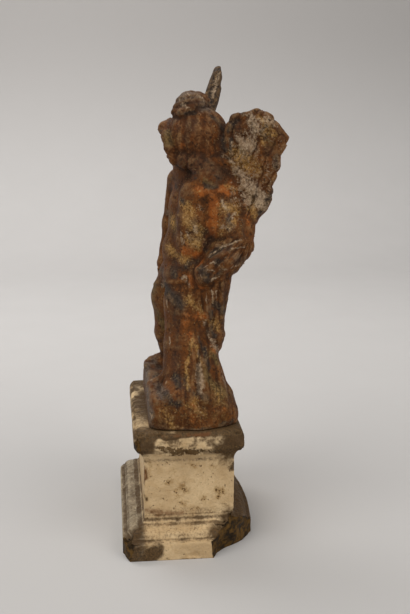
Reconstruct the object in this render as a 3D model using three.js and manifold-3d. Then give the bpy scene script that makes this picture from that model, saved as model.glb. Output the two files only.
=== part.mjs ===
// Terracotta statuette of a winged boy on a moulded marble plinth.
// Millimetres, +Z up, origin at the middle of the plinth's underside.
// The boy faces -Y, so his left side is +X and his wings stand towards +Y.

import * as THREE from "three";
import { mergeVertices } from "three/addons/utils/BufferGeometryUtils.js";
import Module from "manifold-3d";

const wasm = await Module();
wasm.setup();

// Driving dimensions of the marble plinth
const DIE_LENGTH = 94;
const DIE_WIDTH = 50;
const PLINTH_HEIGHT = 70.4;
const BACK_BULGE = 3;
const FRONT_SHARE = 0.95;
const BACK_SHARE = 0.86;

// Driving dimensions of the terracotta
const REST_GAP = 0.3;
const TERRACOTTA_BOTTOM = PLINTH_HEIGHT + REST_GAP;
const GROUND = 88;
const CHEST_TURN = 20;
const HEAD_CENTRE = [0, 8, 225.5];
const HEAD_TURN = 30;
const HEAD_NOD = 15;

// How finely the terracotta is sampled, and how many faces are kept
const CELL = 1.5;
const FACES_KEPT = 8800;

const MARBLE = { color: 0xd8c7a4, roughness: 0.75, metalness: 0 };
const TERRACOTTA = { color: 0x8a4a26, roughness: 0.85, metalness: 0 };

// Small vector and number helpers

const radians = THREE.MathUtils.degToRad;

function dot(a, b) {
  return a[0] * b[0] + a[1] * b[1] + a[2] * b[2];
}

function unit(vector) {
  const length = Math.hypot(...vector);
  return vector.map((part) => part / length);
}

function cross(a, b) {
  return [a[1] * b[2] - a[2] * b[1], a[2] * b[0] - a[0] * b[2], a[0] * b[1] - a[1] * b[0]];
}

function limit(value, low, high) {
  return Math.min(Math.max(value, low), high);
}

function step(from, to, value) {
  const t = limit((value - from) / (to - from), 0, 1);
  return t * t * (3 - 2 * t);
}

function bump(value, centre, width) {
  const t = (value - centre) / width;
  return Math.exp(-t * t);
}

// Forms are fields: functions of a place that are negative inside the clay

function join(a, b, soft) {
  const reach = Math.max(soft - Math.abs(a - b), 0) / soft;
  return Math.min(a, b) - reach * reach * soft * 0.25;
}

function keep(a, b, soft) {
  return -join(-a, -b, soft);
}

function bone(from, to) {
  const along = [to[0] - from[0], to[1] - from[1], to[2] - from[2]];
  const square = dot(along, along);
  return (x, y, z) => {
    const px = x - from[0];
    const py = y - from[1];
    const pz = z - from[2];
    const t = limit((px * along[0] + py * along[1] + pz * along[2]) / square, 0, 1);
    const gap = Math.hypot(px - along[0] * t, py - along[1] * t, pz - along[2] * t);
    return gap - from[3] - (to[3] - from[3]) * t;
  };
}

// A limb: round bones through the given [x, y, z, radius] points
function limb(points, soft = 2) {
  const bones = points.slice(1).map((point, index) => bone(points[index], point));
  return (x, y, z) => {
    let nearest = bones[0](x, y, z);
    for (let index = 1; index < bones.length; index += 1) {
      nearest = join(nearest, bones[index](x, y, z), soft);
    }
    return nearest;
  };
}

// An egg-shaped mass, turned about the vertical by an angle in degrees
function mass(centre, half, turn = 0) {
  const c = Math.cos(radians(turn));
  const s = Math.sin(radians(turn));
  return (x, y, z) => {
    const px = x - centre[0];
    const py = y - centre[1];
    const u = (px * c + py * s) / half[0];
    const v = (py * c - px * s) / half[1];
    const w = (z - centre[2]) / half[2];
    const reach = Math.hypot(u, v, w);
    const slope = Math.hypot(u / half[0], v / half[1], w / half[2]);
    return slope < 1e-6 ? -Math.min(...half) : (reach * (reach - 1)) / slope;
  };
}

function together(forms, soft) {
  return (x, y, z) => {
    let nearest = forms[0](x, y, z);
    for (let index = 1; index < forms.length; index += 1) {
      nearest = join(nearest, forms[index](x, y, z), soft);
    }
    return nearest;
  };
}

// The same field read in a turned frame: side, forward and up from an origin.
// Beyond its reach the plain distance is near enough.
function inFrame(origin, side, forward, up, reach, form) {
  return (x, y, z) => {
    const p = [x - origin[0], y - origin[1], z - origin[2]];
    const far = Math.hypot(...p);
    return far > reach + 10 ? far - reach : form(dot(p, side), dot(p, forward), dot(p, up));
  };
}

// Torso, legs and arms

const chest = mass([0, 5.5, 187], [18, 12, 17], CHEST_TURN);
const ribs = mass([0.5, 4.5, 175], [15.5, 12, 14], CHEST_TURN / 2);
const belly = mass([1, 2.8, 163], [16.5, 14.2, 14.5], 8);
const hips = mass([1.5, 3.5, 149], [19, 14.2, 12.5], 4);
const shoulders = limb([[-15, 1.6, 202, 8.2], [0, 8, 202, 8.5], [15, 14, 200, 8]]);
const neck = limb([[0, 8, 198, 8.5], [-1, 6, 212, 8]]);
const armpit = mass([13, 18, 184], [9.5, 10, 22]);
const flank = limb([[15, 6.5, 195, 9], [16, 6, 182, 9.5], [16, 5.5, 170, 9.5], [16, 4.5, 158, 8.5]]);
const buttocks = together([mass([-8, 12, 143], [9, 8, 10]), mass([9, 13, 144], [9.5, 8, 10])], 2);

const LEFT_HIP = [10, 2, 146, 12];
const LEFT_KNEE = [17.5, -3, 111, 8.4];
const LEFT_ANKLE = [21, -4.5, 93, 6];
const leftLeg = limb([LEFT_HIP, [13, 1, 134, 12], LEFT_KNEE, [19, -3.6, 103, 7.6], LEFT_ANKLE], 3);
const leftFoot = limb([[21, -3, 91.5, 5.2], [23, -10, 91, 4.8], [24.5, -15.5, 90, 4]], 2);

const RIGHT_HIP = [-8, 0, 147, 12.5];
const RIGHT_KNEE = [-16.5, -7.2, 111, 7.7];
const RIGHT_ANKLE = [-20, -5, 93, 5.4];
const rightLeg = limb(
  [RIGHT_HIP, [-12.5, -4.8, 133, 12], RIGHT_KNEE, [-18.5, -4.6, 102, 7.6], RIGHT_ANKLE],
  3,
);
const rightFoot = limb([[-20, -2.5, 91.5, 5.2], [-21, -11, 91, 5], [-22, -16.5, 90, 4.2]], 2);

const rightArm = limb(
  [[-19, 1, 201, 8], [-25, -3, 176, 6.3], [-23.5, -5.6, 161, 5.2], [-20.5, -8, 152, 5.4]],
  3,
);
const LEFT_ELBOW = [26.5, 29, 169, 7.8];
const LEFT_HAND = [31, 10.5, 153, 6.6];
const leftUpperArm = limb([[18, 17, 200, 8.2], [21, 23, 188, 8.4], [23, 24.5, 178, 8.4], LEFT_ELBOW], 3);

const torso = together([chest, ribs, belly, hips, shoulders, neck, armpit, flank], 4);
const trunk = together([torso, buttocks, leftLeg, rightLeg], 4);
const body = (x, y, z) => join(join(trunk(x, y, z), leftUpperArm(x, y, z), 9), rightArm(x, y, z), 2);

// Head, with the face turned to the boy's right and bowed

const turn = radians(HEAD_TURN);
const nod = radians(HEAD_NOD);
const FORWARD = [-Math.sin(turn) * Math.cos(nod), -Math.cos(turn) * Math.cos(nod), -Math.sin(nod)];
const SIDE = unit(cross([0, 0, 1], FORWARD));
const UP = cross(FORWARD, SIDE);
const HEAD_REACH = 31;

const LOCKS = 18;

const cap = mass([0, -1.2, 1.2], [16.4, 18.4, 16.8]);
const nape = limb([[2, -6, -4, 12.5], [6, -8, -16, 8.5]]);

function hair(s, f, u) {
  const round = Math.atan2(s, -f);
  const locks = 0.28 * Math.cos(LOCKS * round + 0.3 * u) * step(16, 8, u);
  return join(cap(s, f, u), nape(s, f, u), 5) - locks;
}

const napeCurls = mass([18.5, 13.5, 207.5], [7, 6.5, 6]);
const sideCurls = together([mass([11, -3, -13.5], [6.5, 6, 5]), mass([11.5, 4, -10.5], [5, 4.6, 4.6])], 1.5);

const CHEEK = [5.6, 11, -7];
const EYE = [4.8, 17.6, -0.6];
const skull = mass([0, 4.6, -2.6], [11.4, 12.6, 15]);
const cheek = mass(CHEEK, [4.8, 4.6, 5]);
const eyeSocket = mass(EYE, [3.2, 2.4, 2.2]);
const eye = mass([4.5, 14.4, -0.8], [2.2, 1.9, 1.3]);
const nose = bone([0, 16.4, 0.6, 1.5], [0, 18.4, -5, 2]);
const chin = mass([0, 13.6, -13.4], [4, 4, 3.2]);
const lips = mass([0, 16.2, -9.2], [3.2, 1.8, 1.7]);

function face(s, f, u) {
  const half = Math.abs(s);
  const fleshy = join(join(skull(s, f, u), cheek(half, f, u), 4), chin(s, f, u), 3);
  const featured = join(fleshy, join(nose(s, f, u), lips(s, f, u), 1), 1.6);
  return join(keep(featured, -eyeSocket(half, f, u), 1.6), eye(half, f, u), 0.6);
}

// A soft roll of hair that frames the face
function fringe(s, f, u) {
  const round = Math.atan2(s, u + 2);
  const across = (Math.hypot(s / 12.8, (u + 2) / 14.4) - 1) * 13;
  const back = f - 10.6 - 1.6 * Math.cos(round);
  const roll = Math.hypot(across, back * 0.9) - 2.9 - 0.5 * Math.cos(12 * round);
  return keep(roll, -(u + 12), 2);
}

// The bow of hair on top, two lobes with a rolled lower edge
const lobe = together([mass([4.4, -3.6, 19], [6.8, 8.6, 7.5]), mass([4.4, 1.4, 17], [6, 6.8, 4.4])], 2.5);
const bowRoll = limb([[10, -6.5, 15.8, 2], [11.2, -1, 15, 2.3], [9, 2.4, 15.8, 1.8]]);

function topknot(s, f, u) {
  const half = Math.abs(s);
  const strands = 0.2 * Math.cos(2.2 * (u - 18) + 0.02 * f * f) * step(2, 6, half);
  return join(lobe(half, f, u) - strands, bowRoll(half, f, u), 1.2);
}

const faceOpening = mass([0, 18.5, -3.4], [9.8, 8.4, 12]);
const knob = mass([4.5, 15.4, 10.4], [3.4, 3.4, 4]);

function headForm(s, f, u) {
  const openHair = keep(join(hair(s, f, u), sideCurls(s, f, u), 2), -faceOpening(s, f, u), 2);
  const curls = join(openHair, join(fringe(s, f, u), knob(s, f, u), 2.5), 1.5);
  return join(join(curls, topknot(s, f, u), 1.5), face(s, f, u), 1);
}

const head = inFrame(HEAD_CENTRE, SIDE, FORWARD, UP, HEAD_REACH, headForm);

// Wings: plates with a drawn outline, thick at the leading edge, with rows of feathers

function insideOutline(outline) {
  return (u, v) => {
    let nearest = Infinity;
    let sign = 1;
    for (let i = 0, j = outline.length - 1; i < outline.length; j = i, i += 1) {
      const [ax, ay] = outline[i];
      const ex = outline[j][0] - ax;
      const ey = outline[j][1] - ay;
      const px = u - ax;
      const py = v - ay;
      const t = limit((px * ex + py * ey) / (ex * ex + ey * ey), 0, 1);
      nearest = Math.min(nearest, Math.hypot(px - ex * t, py - ey * t));
      const above = v >= ay;
      const below = v < outline[j][1];
      const left = ex * py > ey * px;
      if ((above && below && left) || (!above && !below && !left)) {
        sign = -sign;
      }
    }
    return sign * nearest;
  };
}

// Overlapping rows of feathers: each rises along its length and drops at a rounded tip.
// Every second row is shifted by half a feather.
function feathers(across, along, width, length) {
  let top = 0;
  for (const shift of [0, 0.5]) {
    const cell = across / width + shift;
    const side = Math.abs(cell - Math.floor(cell) - 0.5) * 2;
    const row = along / (2 * length) + shift + 0.2 * side * side;
    top = Math.max(top, row - Math.floor(row));
  }
  return 2 * top - 1;
}

function wing({ root, spread, outline, thick, lean, relief }) {
  const out = unit([spread[0], spread[1], 0]);
  const face = [Math.abs(out[1]), -Math.sign(out[1]) * out[0], 0];
  const edge = insideOutline(outline);
  return (x, y, z) => {
    const px = x - root[0];
    const py = y - root[1];
    const pz = z - root[2];
    const s = px * out[0] + py * out[1];
    const w = px * face[0] + py * face[1] - lean(s, pz);
    if (Math.abs(w) > 14) {
      return Math.abs(w) - 5;
    }
    const rim = edge(s, pz);
    return keep(rim, Math.abs(w) - thick(s, pz) - relief(s, pz) * Math.sign(w), 2.4);
  };
}

const leftWing = wing({
  root: [9, 19, 200],
  spread: [0.62, 0.785],
  outline: [
    [-2, 6], [6, 22], [8.5, 34.5], [12.4, 39], [20.5, 41.4], [27.2, 42.6], [34.5, 38.8], [41.2, 31],
    [44, 27.2], [43.2, 22.6], [39.6, 17.6], [39.8, 12], [37.4, 5], [35.2, 1], [36.6, -2.6],
    [32.4, -12], [26, -19], [19, -24], [8, -22], [-2, -10],
  ],
  thick: (s, z) => 2.3 + 2.2 * bump(s + 0.12 * (24 - z), 8, 7) + 1.6 * step(0, -20, z),
  lean: (s) => 1.5 - 0.004 * (s - 18) * (s - 18),
  relief: (s, z) => 0.85 * feathers(s * 0.62 + z * 0.78, s * 0.78 - z * 0.62, 8.4, 8.4) * step(9, 15, s),
});

const rightWing = wing({
  root: [-11, 14, 200],
  spread: [-0.975, 0.22],
  outline: [
    [-2, 8], [7, 24], [14, 40], [20, 56], [25, 66], [29, 69.4], [32, 68.6], [33.5, 60], [34.5, 46],
    [34, 30], [31, 14], [26, 0], [19, -12], [10, -20], [-2, -14],
  ],
  thick: (s, z) => 2.6 + 1.2 * step(30, 8, s) + 1.4 * bump(z, 52, 13) - 0.6 * step(60, 70, z),
  lean: (s, z) => 6.4 - 0.22 * limit(69 - z, 0, 30) - 0.03 * Math.max(39 - z, 0) - 0.01 * (s - 20) ** 2,
  relief: (s, z) =>
    0.9 * feathers(s * 0.5 + z * 0.87, s * 0.87 - z * 0.5, 8.4, 9) * step(8, 14, s - 0.3 * z),
});

// Cloth: round the left forearm, falling from it, and drawn across the hips

const sleeveRound = limb([LEFT_HAND, [28.5, 21.5, 161.5, 9], LEFT_ELBOW], 4);
const elbowRoll = mass([26.5, 33, 177], [5, 5.6, 5.4]);
const SLEEVE_FOLDS = 24;
const sleeveFolds = (x, y, z) => {
  const fromElbow = Math.hypot(y - 36, z - 179);
  const fan = Math.atan2(179 - z, 36 - y) + 0.05 * Math.sin(0.42 * fromElbow + 0.1 * x) + 0.004 * fromElbow;
  return 0.6 * Math.cos(SLEEVE_FOLDS * fan) * step(6, 18, fromElbow) * step(24, 30, x);
};
const sleeve = (x, y, z) => join(sleeveRound(x, y, z) - sleeveFolds(x, y, z), elbowRoll(x, y, z), 2);

const fallBody = limb([[27, 16.5, 150, 9], [25, 14.4, 132, 8], [24, 13.4, 114, 7.6]], 3);
const fallHem = together(
  [mass([26.5, 16.4, 118], [7, 6, 5.4]), mass([26, 12.4, 109.5], [7, 5.6, 4.6])],
  1.5,
);
const thighWeb = limb([[20, 7.5, 150, 7.5], [20.5, 7.5, 138, 8], [20, 7, 124, 8]]);
const fallFolds = (x, y, z) => {
  const swing = y + 0.03 * (z - 130) + 0.7 * Math.sin(0.11 * z) + 0.4 * Math.sin(0.23 * z + 1);
  const waves = Math.cos(0.95 * swing) * Math.cos(0.09 * z + 0.5) + 0.6 * Math.cos(1.5 * swing + 0.14 * z);
  return 0.45 * waves * step(20, 26, x) * step(108, 124, z);
};
const hanging = (x, y, z) => join(fallBody(x, y, z), thighWeb(x, y, z), 3) - fallFolds(x, y, z);
const fall = (x, y, z) => join(hanging(x, y, z), fallHem(x, y, z), 1.5);

const hipForm = together([belly, hips, leftLeg, rightLeg, buttocks], 4);
const band = (x, y, z) => {
  const middle = 151.5 + 0.16 * (x + y) - 0.0016 * x * x;
  const strip = Math.abs(z - middle) - 7.4;
  const pleats = 0.6 * bump(z, middle - 5.8, 1.6) + 0.2 * bump(z, middle + 1, 1.8);
  return keep(hipForm(x, y, z) - 0.3 - pleats, strip, 2.5);
};

// Rocky support and the base block

const support = limb([[20.5, 3, 129, 8.5], [22, 4, 112, 11.6], [26, 4, 97, 13.4], [31, 6.5, 77, 17.4]], 4);
const supportToe = limb([[22, -5, 100, 6], [36, -6, 84, 8.5]], 3);
const supportBack = limb([[24, 14, 102, 3.5], [35, 20, 76, 8]], 3);
const supportEnd = mass([35, 4, 80], [14.5, 20, 17]);
const supportRound = together([support, supportToe, supportBack, supportEnd], 5);
const FOLD_WIDTH = 2.2;
const supportFolds = (x, y, z) => {
  const first = bump(y, 3.5 - 0.1 * (108 - z), FOLD_WIDTH) * step(84, 92, z) * step(122, 114, z);
  const secondAt = 8.8 + 0.004 * (z - 96) ** 2;
  const second = bump(y, secondAt, FOLD_WIDTH * 1.2) * step(82, 88, z) * step(112, 106, z);
  const third = 0.7 * bump(y, 19 + 0.2 * (96 - z), FOLD_WIDTH) * step(74, 84, z) * step(110, 102, z);
  return 1.7 * Math.max(first, second, third) * step(22, 28, x);
};
const stump = (x, y, z) => supportRound(x, y, z) - supportFolds(x, y, z);

const block = (x, y, z) => {
  const rise = step(TERRACOTTA_BOTTOM, GROUND, z);
  const nearEnd = Math.max(
    0.93 * x + 0.367 * y - 49.4 + 3.5 * rise,
    0.994 * x - 0.109 * y - 49.8 + 3 * rise,
  );
  const farEnd = -x - 52 + 6.5 * rise;
  const front = -y - 22 + 0.8 * rise;
  const back = y - 28 + 2 * rise;
  const ends = keep(nearEnd, farEnd, 6);
  const sides = keep(front, back, 6);
  const uneven = 0.5 * Math.sin(0.31 * x + 1) * Math.sin(0.27 * y) + 0.4 * Math.sin(0.19 * x - 0.23 * y);
  return keep(keep(ends, sides, 9), z - GROUND + uneven, 3.5);
};

function terracotta(x, y, z) {
  const flesh = join(body(x, y, z), join(leftFoot(x, y, z), rightFoot(x, y, z), 1), 2);
  const dressed = join(join(flesh, band(x, y, z), 0.8), join(sleeve(x, y, z), fall(x, y, z), 2), 1.6);
  const winged = join(dressed, join(leftWing(x, y, z), rightWing(x, y, z), 1), 4);
  const standing = join(winged, join(stump(x, y, z), block(x, y, z), 4), 5);
  const haired = join(head(x, y, z), napeCurls(x, y, z), 3);
  return keep(join(standing, haired, 2), TERRACOTTA_BOTTOM - z, 0.01);
}

// The skin of a field: one corner point for each group of joined inside corners of a
// cell, and one four-sided face round each grid edge that crosses the skin

const CORNERS = Array.from({ length: 8 }, (_, index) => [index & 1, (index >> 1) & 1, index >> 2]);
const CELL_EDGES = [];
for (let corner = 0; corner < 8; corner += 1) {
  for (const bit of [1, 2, 4]) {
    if (!(corner & bit)) {
      CELL_EDGES.push([corner, corner | bit]);
    }
  }
}

function joinedGroups(inside) {
  const group = inside.map((value, index) => (value ? index : -1));
  for (let pass = 0; pass < 4; pass += 1) {
    for (const [a, b] of CELL_EDGES) {
      if (inside[a] && inside[b]) {
        const lower = Math.min(group[a], group[b]);
        group[a] = lower;
        group[b] = lower;
      }
    }
  }
  return group;
}

function skinOf(field, low, high, cell) {
  const size = low.map((value, axis) => Math.ceil((high[axis] - value) / cell) + 1);
  const stride = [1, size[0], size[0] * size[1]];
  const values = new Float64Array(size[0] * size[1] * size[2]);
  let index = 0;
  for (let k = 0; k < size[2]; k += 1) {
    for (let j = 0; j < size[1]; j += 1) {
      for (let i = 0; i < size[0]; i += 1) {
        values[index] = field(low[0] + i * cell, low[1] + j * cell, low[2] + k * cell);
        index += 1;
      }
    }
  }
  const cornerStride = CORNERS.map((corner) => dot(corner, stride));
  const points = [];
  const pointOf = new Map();
  const place = [0, 0, 0];
  for (place[2] = 0; place[2] < size[2] - 1; place[2] += 1) {
    for (place[1] = 0; place[1] < size[1] - 1; place[1] += 1) {
      for (place[0] = 0; place[0] < size[0] - 1; place[0] += 1) {
        const start = dot(place, stride);
        const corner = cornerStride.map((offset) => values[start + offset]);
        const inside = corner.map((value) => value < 0);
        const count = inside.filter(Boolean).length;
        if (count === 0 || count === 8) {
          continue;
        }
        const group = joinedGroups(inside);
        for (const lead of new Set(group.filter((value) => value >= 0))) {
          const sum = [0, 0, 0];
          let crossings = 0;
          for (const [a, b] of CELL_EDGES) {
            if (inside[a] !== inside[b] && group[inside[a] ? a : b] === lead) {
              const t = corner[a] / (corner[a] - corner[b]);
              for (let axis = 0; axis < 3; axis += 1) {
                sum[axis] += CORNERS[a][axis] + t * (CORNERS[b][axis] - CORNERS[a][axis]);
              }
              crossings += 1;
            }
          }
          for (let c = 0; c < 8; c += 1) {
            if (group[c] === lead) {
              pointOf.set(start * 8 + c, points.length);
            }
          }
          points.push(sum.map((value, axis) => low[axis] + cell * (place[axis] + value / crossings)));
        }
      }
    }
  }
  const faces = [];
  for (let k = 1; k < size[2] - 1; k += 1) {
    for (let j = 1; j < size[1] - 1; j += 1) {
      for (let i = 1; i < size[0] - 1; i += 1) {
        const here = i + j * stride[1] + k * stride[2];
        for (let axis = 0; axis < 3; axis += 1) {
          const next = here + stride[axis];
          if (values[here] < 0 === values[next] < 0) {
            continue;
          }
          const inner = values[here] < 0 ? here : next;
          const b = (axis + 1) % 3;
          const c = (axis + 2) % 3;
          const around = [[0, 0], [-1, 0], [-1, -1], [0, -1]].map(([nb, nc]) => {
            const start = here + nb * stride[b] + nc * stride[c];
            return pointOf.get(start * 8 + cornerStride.indexOf(inner - start));
          });
          const quad = inner === here ? around : around.reverse();
          faces.push([quad[0], quad[1], quad[2]], [quad[0], quad[2], quad[3]]);
        }
      }
    }
  }
  return { points, faces };
}

// The largest connected sheet of faces, with its points renumbered
function largestSheet({ points, faces }) {
  const lead = points.map((_, index) => index);
  const find = (index) => {
    let root = index;
    while (lead[root] !== root) {
      lead[root] = lead[lead[root]];
      root = lead[root];
    }
    return root;
  };
  for (const [a, b, c] of faces) {
    lead[find(b)] = find(a);
    lead[find(c)] = find(a);
  }
  const tally = new Map();
  for (const [a] of faces) {
    const root = find(a);
    tally.set(root, (tally.get(root) ?? 0) + 1);
  }
  const main = [...tally.entries()].sort((a, b) => b[1] - a[1])[0][0];
  const renumber = new Map();
  const kept = [];
  const keptFaces = faces
    .filter(([a]) => find(a) === main)
    .map((face) =>
      face.map((index) => {
        if (!renumber.has(index)) {
          renumber.set(index, kept.length);
          kept.push(points[index]);
        }
        return renumber.get(index);
      }),
    );
  return { points: kept, faces: keptFaces };
}

// Moves each point along the field's slope onto the skin, by at most part of a cell
function settle(points, field, cell) {
  const probe = 0.05;
  for (let pass = 0; pass < 3; pass += 1) {
    for (const point of points) {
      const [x, y, z] = point;
      const value = field(x, y, z);
      const slope = [
        (field(x + probe, y, z) - field(x - probe, y, z)) / (2 * probe),
        (field(x, y + probe, z) - field(x, y - probe, z)) / (2 * probe),
        (field(x, y, z + probe) - field(x, y, z - probe)) / (2 * probe),
      ];
      const square = Math.max(dot(slope, slope), 0.2);
      const move = limit(value / square, -0.25 * cell, 0.25 * cell);
      for (let axis = 0; axis < 3; axis += 1) {
        point[axis] -= move * slope[axis];
      }
    }
  }
}

// Joins neighbouring points, cheapest first, until few enough faces are left.
// The cost is the squared distance from the planes of the faces round a point,
// times how much that place matters.
function thinOut({ points, faces }, target, worth) {
  const place = points.map((point) => [...point]);
  const face = faces.map((corners) => [...corners]);
  const facesAt = place.map(() => new Set());
  face.forEach((corners, index) => corners.forEach((corner) => facesAt[corner].add(index)));
  const version = new Uint32Array(place.length);

  const normalOf = (corners, moved, spot) => {
    const [a, b, c] = corners.map((corner) => (moved.includes(corner) ? spot : place[corner]));
    return cross([b[0] - a[0], b[1] - a[1], b[2] - a[2]], [c[0] - a[0], c[1] - a[1], c[2] - a[2]]);
  };
  const planes = place.map(() => new Float64Array(10));
  face.forEach((corners) => {
    const area = normalOf(corners, [], null);
    const weight = Math.hypot(...area);
    const [nx, ny, nz] = area.map((part) => part / weight);
    const offset = -dot([nx, ny, nz], place[corners[0]]);
    const terms = [
      nx * nx, nx * ny, nx * nz, nx * offset, ny * ny,
      ny * nz, ny * offset, nz * nz, nz * offset, offset * offset,
    ];
    const value = weight * worth(place[corners[0]]);
    corners.forEach((corner) => terms.forEach((term, slot) => (planes[corner][slot] += term * value)));
  });

  const costAt = (q, [x, y, z]) =>
    q[0] * x * x + 2 * q[1] * x * y + 2 * q[2] * x * z + 2 * q[3] * x + q[4] * y * y +
    2 * q[5] * y * z + 2 * q[6] * y + q[7] * z * z + 2 * q[8] * z + q[9];

  const bestSpot = (a, b) => {
    const q = planes[a].map((value, slot) => value + planes[b][slot]);
    const [pa, pb] = [place[a], place[b]];
    const middle = pa.map((value, axis) => (value + pb[axis]) / 2);
    const rows = [[q[0], q[1], q[2]], [q[1], q[4], q[5]], [q[2], q[5], q[7]]];
    const det = dot(rows[0], cross(rows[1], rows[2]));
    const size = q[0] + q[4] + q[7];
    const choices = [middle, pa, pb];
    if (Math.abs(det) > 1e-4 * size * size * size) {
      const right = [-q[3], -q[6], -q[8]];
      const spot = [
        dot(right, cross(rows[1], rows[2])) / det,
        dot(rows[0], cross(right, rows[2])) / det,
        dot(rows[0], cross(rows[1], right)) / det,
      ];
      choices.unshift(spot);
    }
    let best = null;
    for (const spot of choices) {
      const cost = costAt(q, spot) + 1e-4 * (Math.hypot(pa[0] - pb[0], pa[1] - pb[1], pa[2] - pb[2]) ** 2);
      if (best === null || cost < best.cost - 1e-12) {
        best = { cost, spot };
      }
    }
    return best;
  };

  const heap = [];
  const swap = (i, j) => {
    [heap[i], heap[j]] = [heap[j], heap[i]];
  };
  const push = (entry) => {
    heap.push(entry);
    let child = heap.length - 1;
    while (child > 0 && heap[child].cost < heap[(child - 1) >> 1].cost) {
      swap(child, (child - 1) >> 1);
      child = (child - 1) >> 1;
    }
  };
  const pop = () => {
    const top = heap[0];
    const last = heap.pop();
    if (heap.length > 0) {
      heap[0] = last;
      let parent = 0;
      for (;;) {
        let least = parent;
        for (const child of [2 * parent + 1, 2 * parent + 2]) {
          if (child < heap.length && heap[child].cost < heap[least].cost) {
            least = child;
          }
        }
        if (least === parent) {
          break;
        }
        swap(parent, least);
        parent = least;
      }
    }
    return top;
  };
  const offer = (a, b) => {
    const { cost, spot } = bestSpot(a, b);
    push({ a, b, cost, spot, seen: version[a] + version[b] });
  };
  const neighbours = (vertex) => {
    const near = new Set();
    facesAt[vertex].forEach((index) => face[index].forEach((corner) => near.add(corner)));
    near.delete(vertex);
    return near;
  };
  face.forEach(([a, b, c]) => {
    [[a, b], [b, c], [c, a]].filter(([from, to]) => from < to).forEach(([from, to]) => offer(from, to));
  });

  let left = face.length;
  while (left > target && heap.length > 0) {
    const { a, b, spot, seen } = pop();
    if (facesAt[a] === null || facesAt[b] === null || seen !== version[a] + version[b]) {
      continue;
    }
    const nearA = neighbours(a);
    const nearB = neighbours(b);
    if (!nearA.has(b) || [...nearA].filter((vertex) => nearB.has(vertex)).length !== 2) {
      continue;
    }
    const shared = [...facesAt[a]].filter((index) => facesAt[b].has(index));
    const around = [...facesAt[a], ...facesAt[b]].filter((index) => !shared.includes(index));
    const folds = around.some((index) => {
      const before = normalOf(face[index], [], null);
      const after = normalOf(face[index], [a, b], spot);
      const size = Math.hypot(...after);
      return size < 0.02 || dot(before, after) < 0.3 * Math.hypot(...before) * size;
    });
    if (folds) {
      continue;
    }
    place[a] = spot;
    planes[a] = planes[a].map((value, slot) => value + planes[b][slot]);
    shared.forEach((index) => {
      face[index].forEach((corner) => facesAt[corner].delete(index));
      face[index] = null;
    });
    facesAt[b].forEach((index) => {
      face[index] = face[index].map((corner) => (corner === b ? a : corner));
      facesAt[a].add(index);
    });
    facesAt[b] = null;
    left -= shared.length;
    version[a] += 1;
    neighbours(a).forEach((vertex) => offer(Math.min(a, vertex), Math.max(a, vertex)));
  }
  return largestSheet({ points: place, faces: face.filter(Boolean) });
}

function toGeometry({ points, faces }) {
  const geometry = new THREE.BufferGeometry();
  geometry.setAttribute("position", new THREE.Float32BufferAttribute(points.flat(), 3));
  geometry.setIndex(faces.flat());
  geometry.computeVertexNormals();
  return geometry;
}

// The face counts for more than the rest when points are joined
const FACE_WORTH = 6;
const FACE_MIDDLE = HEAD_CENTRE.map((value, axis) => value + 15 * FORWARD[axis] - 4 * UP[axis]);

function worthOf([x, y, z]) {
  const away = Math.hypot(x - FACE_MIDDLE[0], y - FACE_MIDDLE[1], z - FACE_MIDDLE[2]);
  return 1 + (FACE_WORTH - 1) * step(16, 10, away);
}

function modelStatuette() {
  const low = [-56, -27, TERRACOTTA_BOTTOM - 2.2];
  const high = [56, 62, 275];
  const skin = largestSheet(skinOf(terracotta, low, high, CELL));
  settle(skin.points, terracotta, CELL);
  const thin = thinOut(skin, FACES_KEPT, worthOf);
  thin.points.forEach((point) => {
    point[2] = Math.max(point[2], TERRACOTTA_BOTTOM);
  });
  return toGeometry(thin);
}

// Marble plinth: [projection beyond the die, height] of the moulding from the floor up

const BASE_PROFILE = [
  [13, 0], [13, 9.4], [12.4, 10], [10.2, 10.1], [10.2, 11.4], [9.3, 12.8], [7.3, 14.1], [4.6, 14.9],
  [4.4, 15.9], [2, 16.3], [0.8, 17.2], [0, 18.6],
];
const CAP_PROFILE = [
  [0, 53.4], [0.6, 54.6], [1.6, 56.6], [3.2, 58], [4.4, 58.5], [4.4, 59.6], [5.6, 60.1], [5.8, 64],
  [5.6, 67.8], [4.8, 69.6], [3.4, PLINTH_HEIGHT],
];
const CORNER_STEPS = 3;
const SIDE_STEPS = 6;

// One level of the plinth: a rectangle with worn corners and a roughly dressed back
function plinthLevel(projection, height) {
  const halfLength = DIE_LENGTH / 2 + projection;
  const back = DIE_WIDTH / 2 + projection * BACK_SHARE;
  const front = DIE_WIDTH / 2 + projection * FRONT_SHARE;
  const worn = 0.6 + 0.28 * projection;
  const bulge = BACK_BULGE * step(4, 12, projection);
  const level = [];
  for (let corner = 0; corner < 4; corner += 1) {
    const cx = corner === 0 || corner === 3 ? halfLength - worn : worn - halfLength;
    const cy = corner < 2 ? back - worn : worn - front;
    for (let part = 0; part <= CORNER_STEPS; part += 1) {
      const angle = radians(90 * (corner + part / CORNER_STEPS));
      level.push([cx + worn * Math.cos(angle), cy + worn * Math.sin(angle), height]);
    }
    if (corner === 0) {
      for (let part = 1; part < SIDE_STEPS; part += 1) {
        const across = part / SIDE_STEPS;
        const rough = bulge * Math.sin(Math.PI * across) ** 2;
        level.push([cx - 2 * cx * across, cy + worn + rough, height]);
      }
    }
  }
  return level;
}

function loft(levels) {
  const points = levels.flat();
  const round = levels[0].length;
  const faces = [];
  for (let level = 0; level + 1 < levels.length; level += 1) {
    for (let i = 0; i < round; i += 1) {
      const a = level * round + i;
      const b = level * round + ((i + 1) % round);
      faces.push([a, b, b + round], [a, b + round, a + round]);
    }
  }
  const top = (levels.length - 1) * round;
  for (let i = 1; i + 1 < round; i += 1) {
    faces.push([0, i + 1, i], [top, top + i, top + i + 1]);
  }
  return toGeometry({ points, faces });
}

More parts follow.
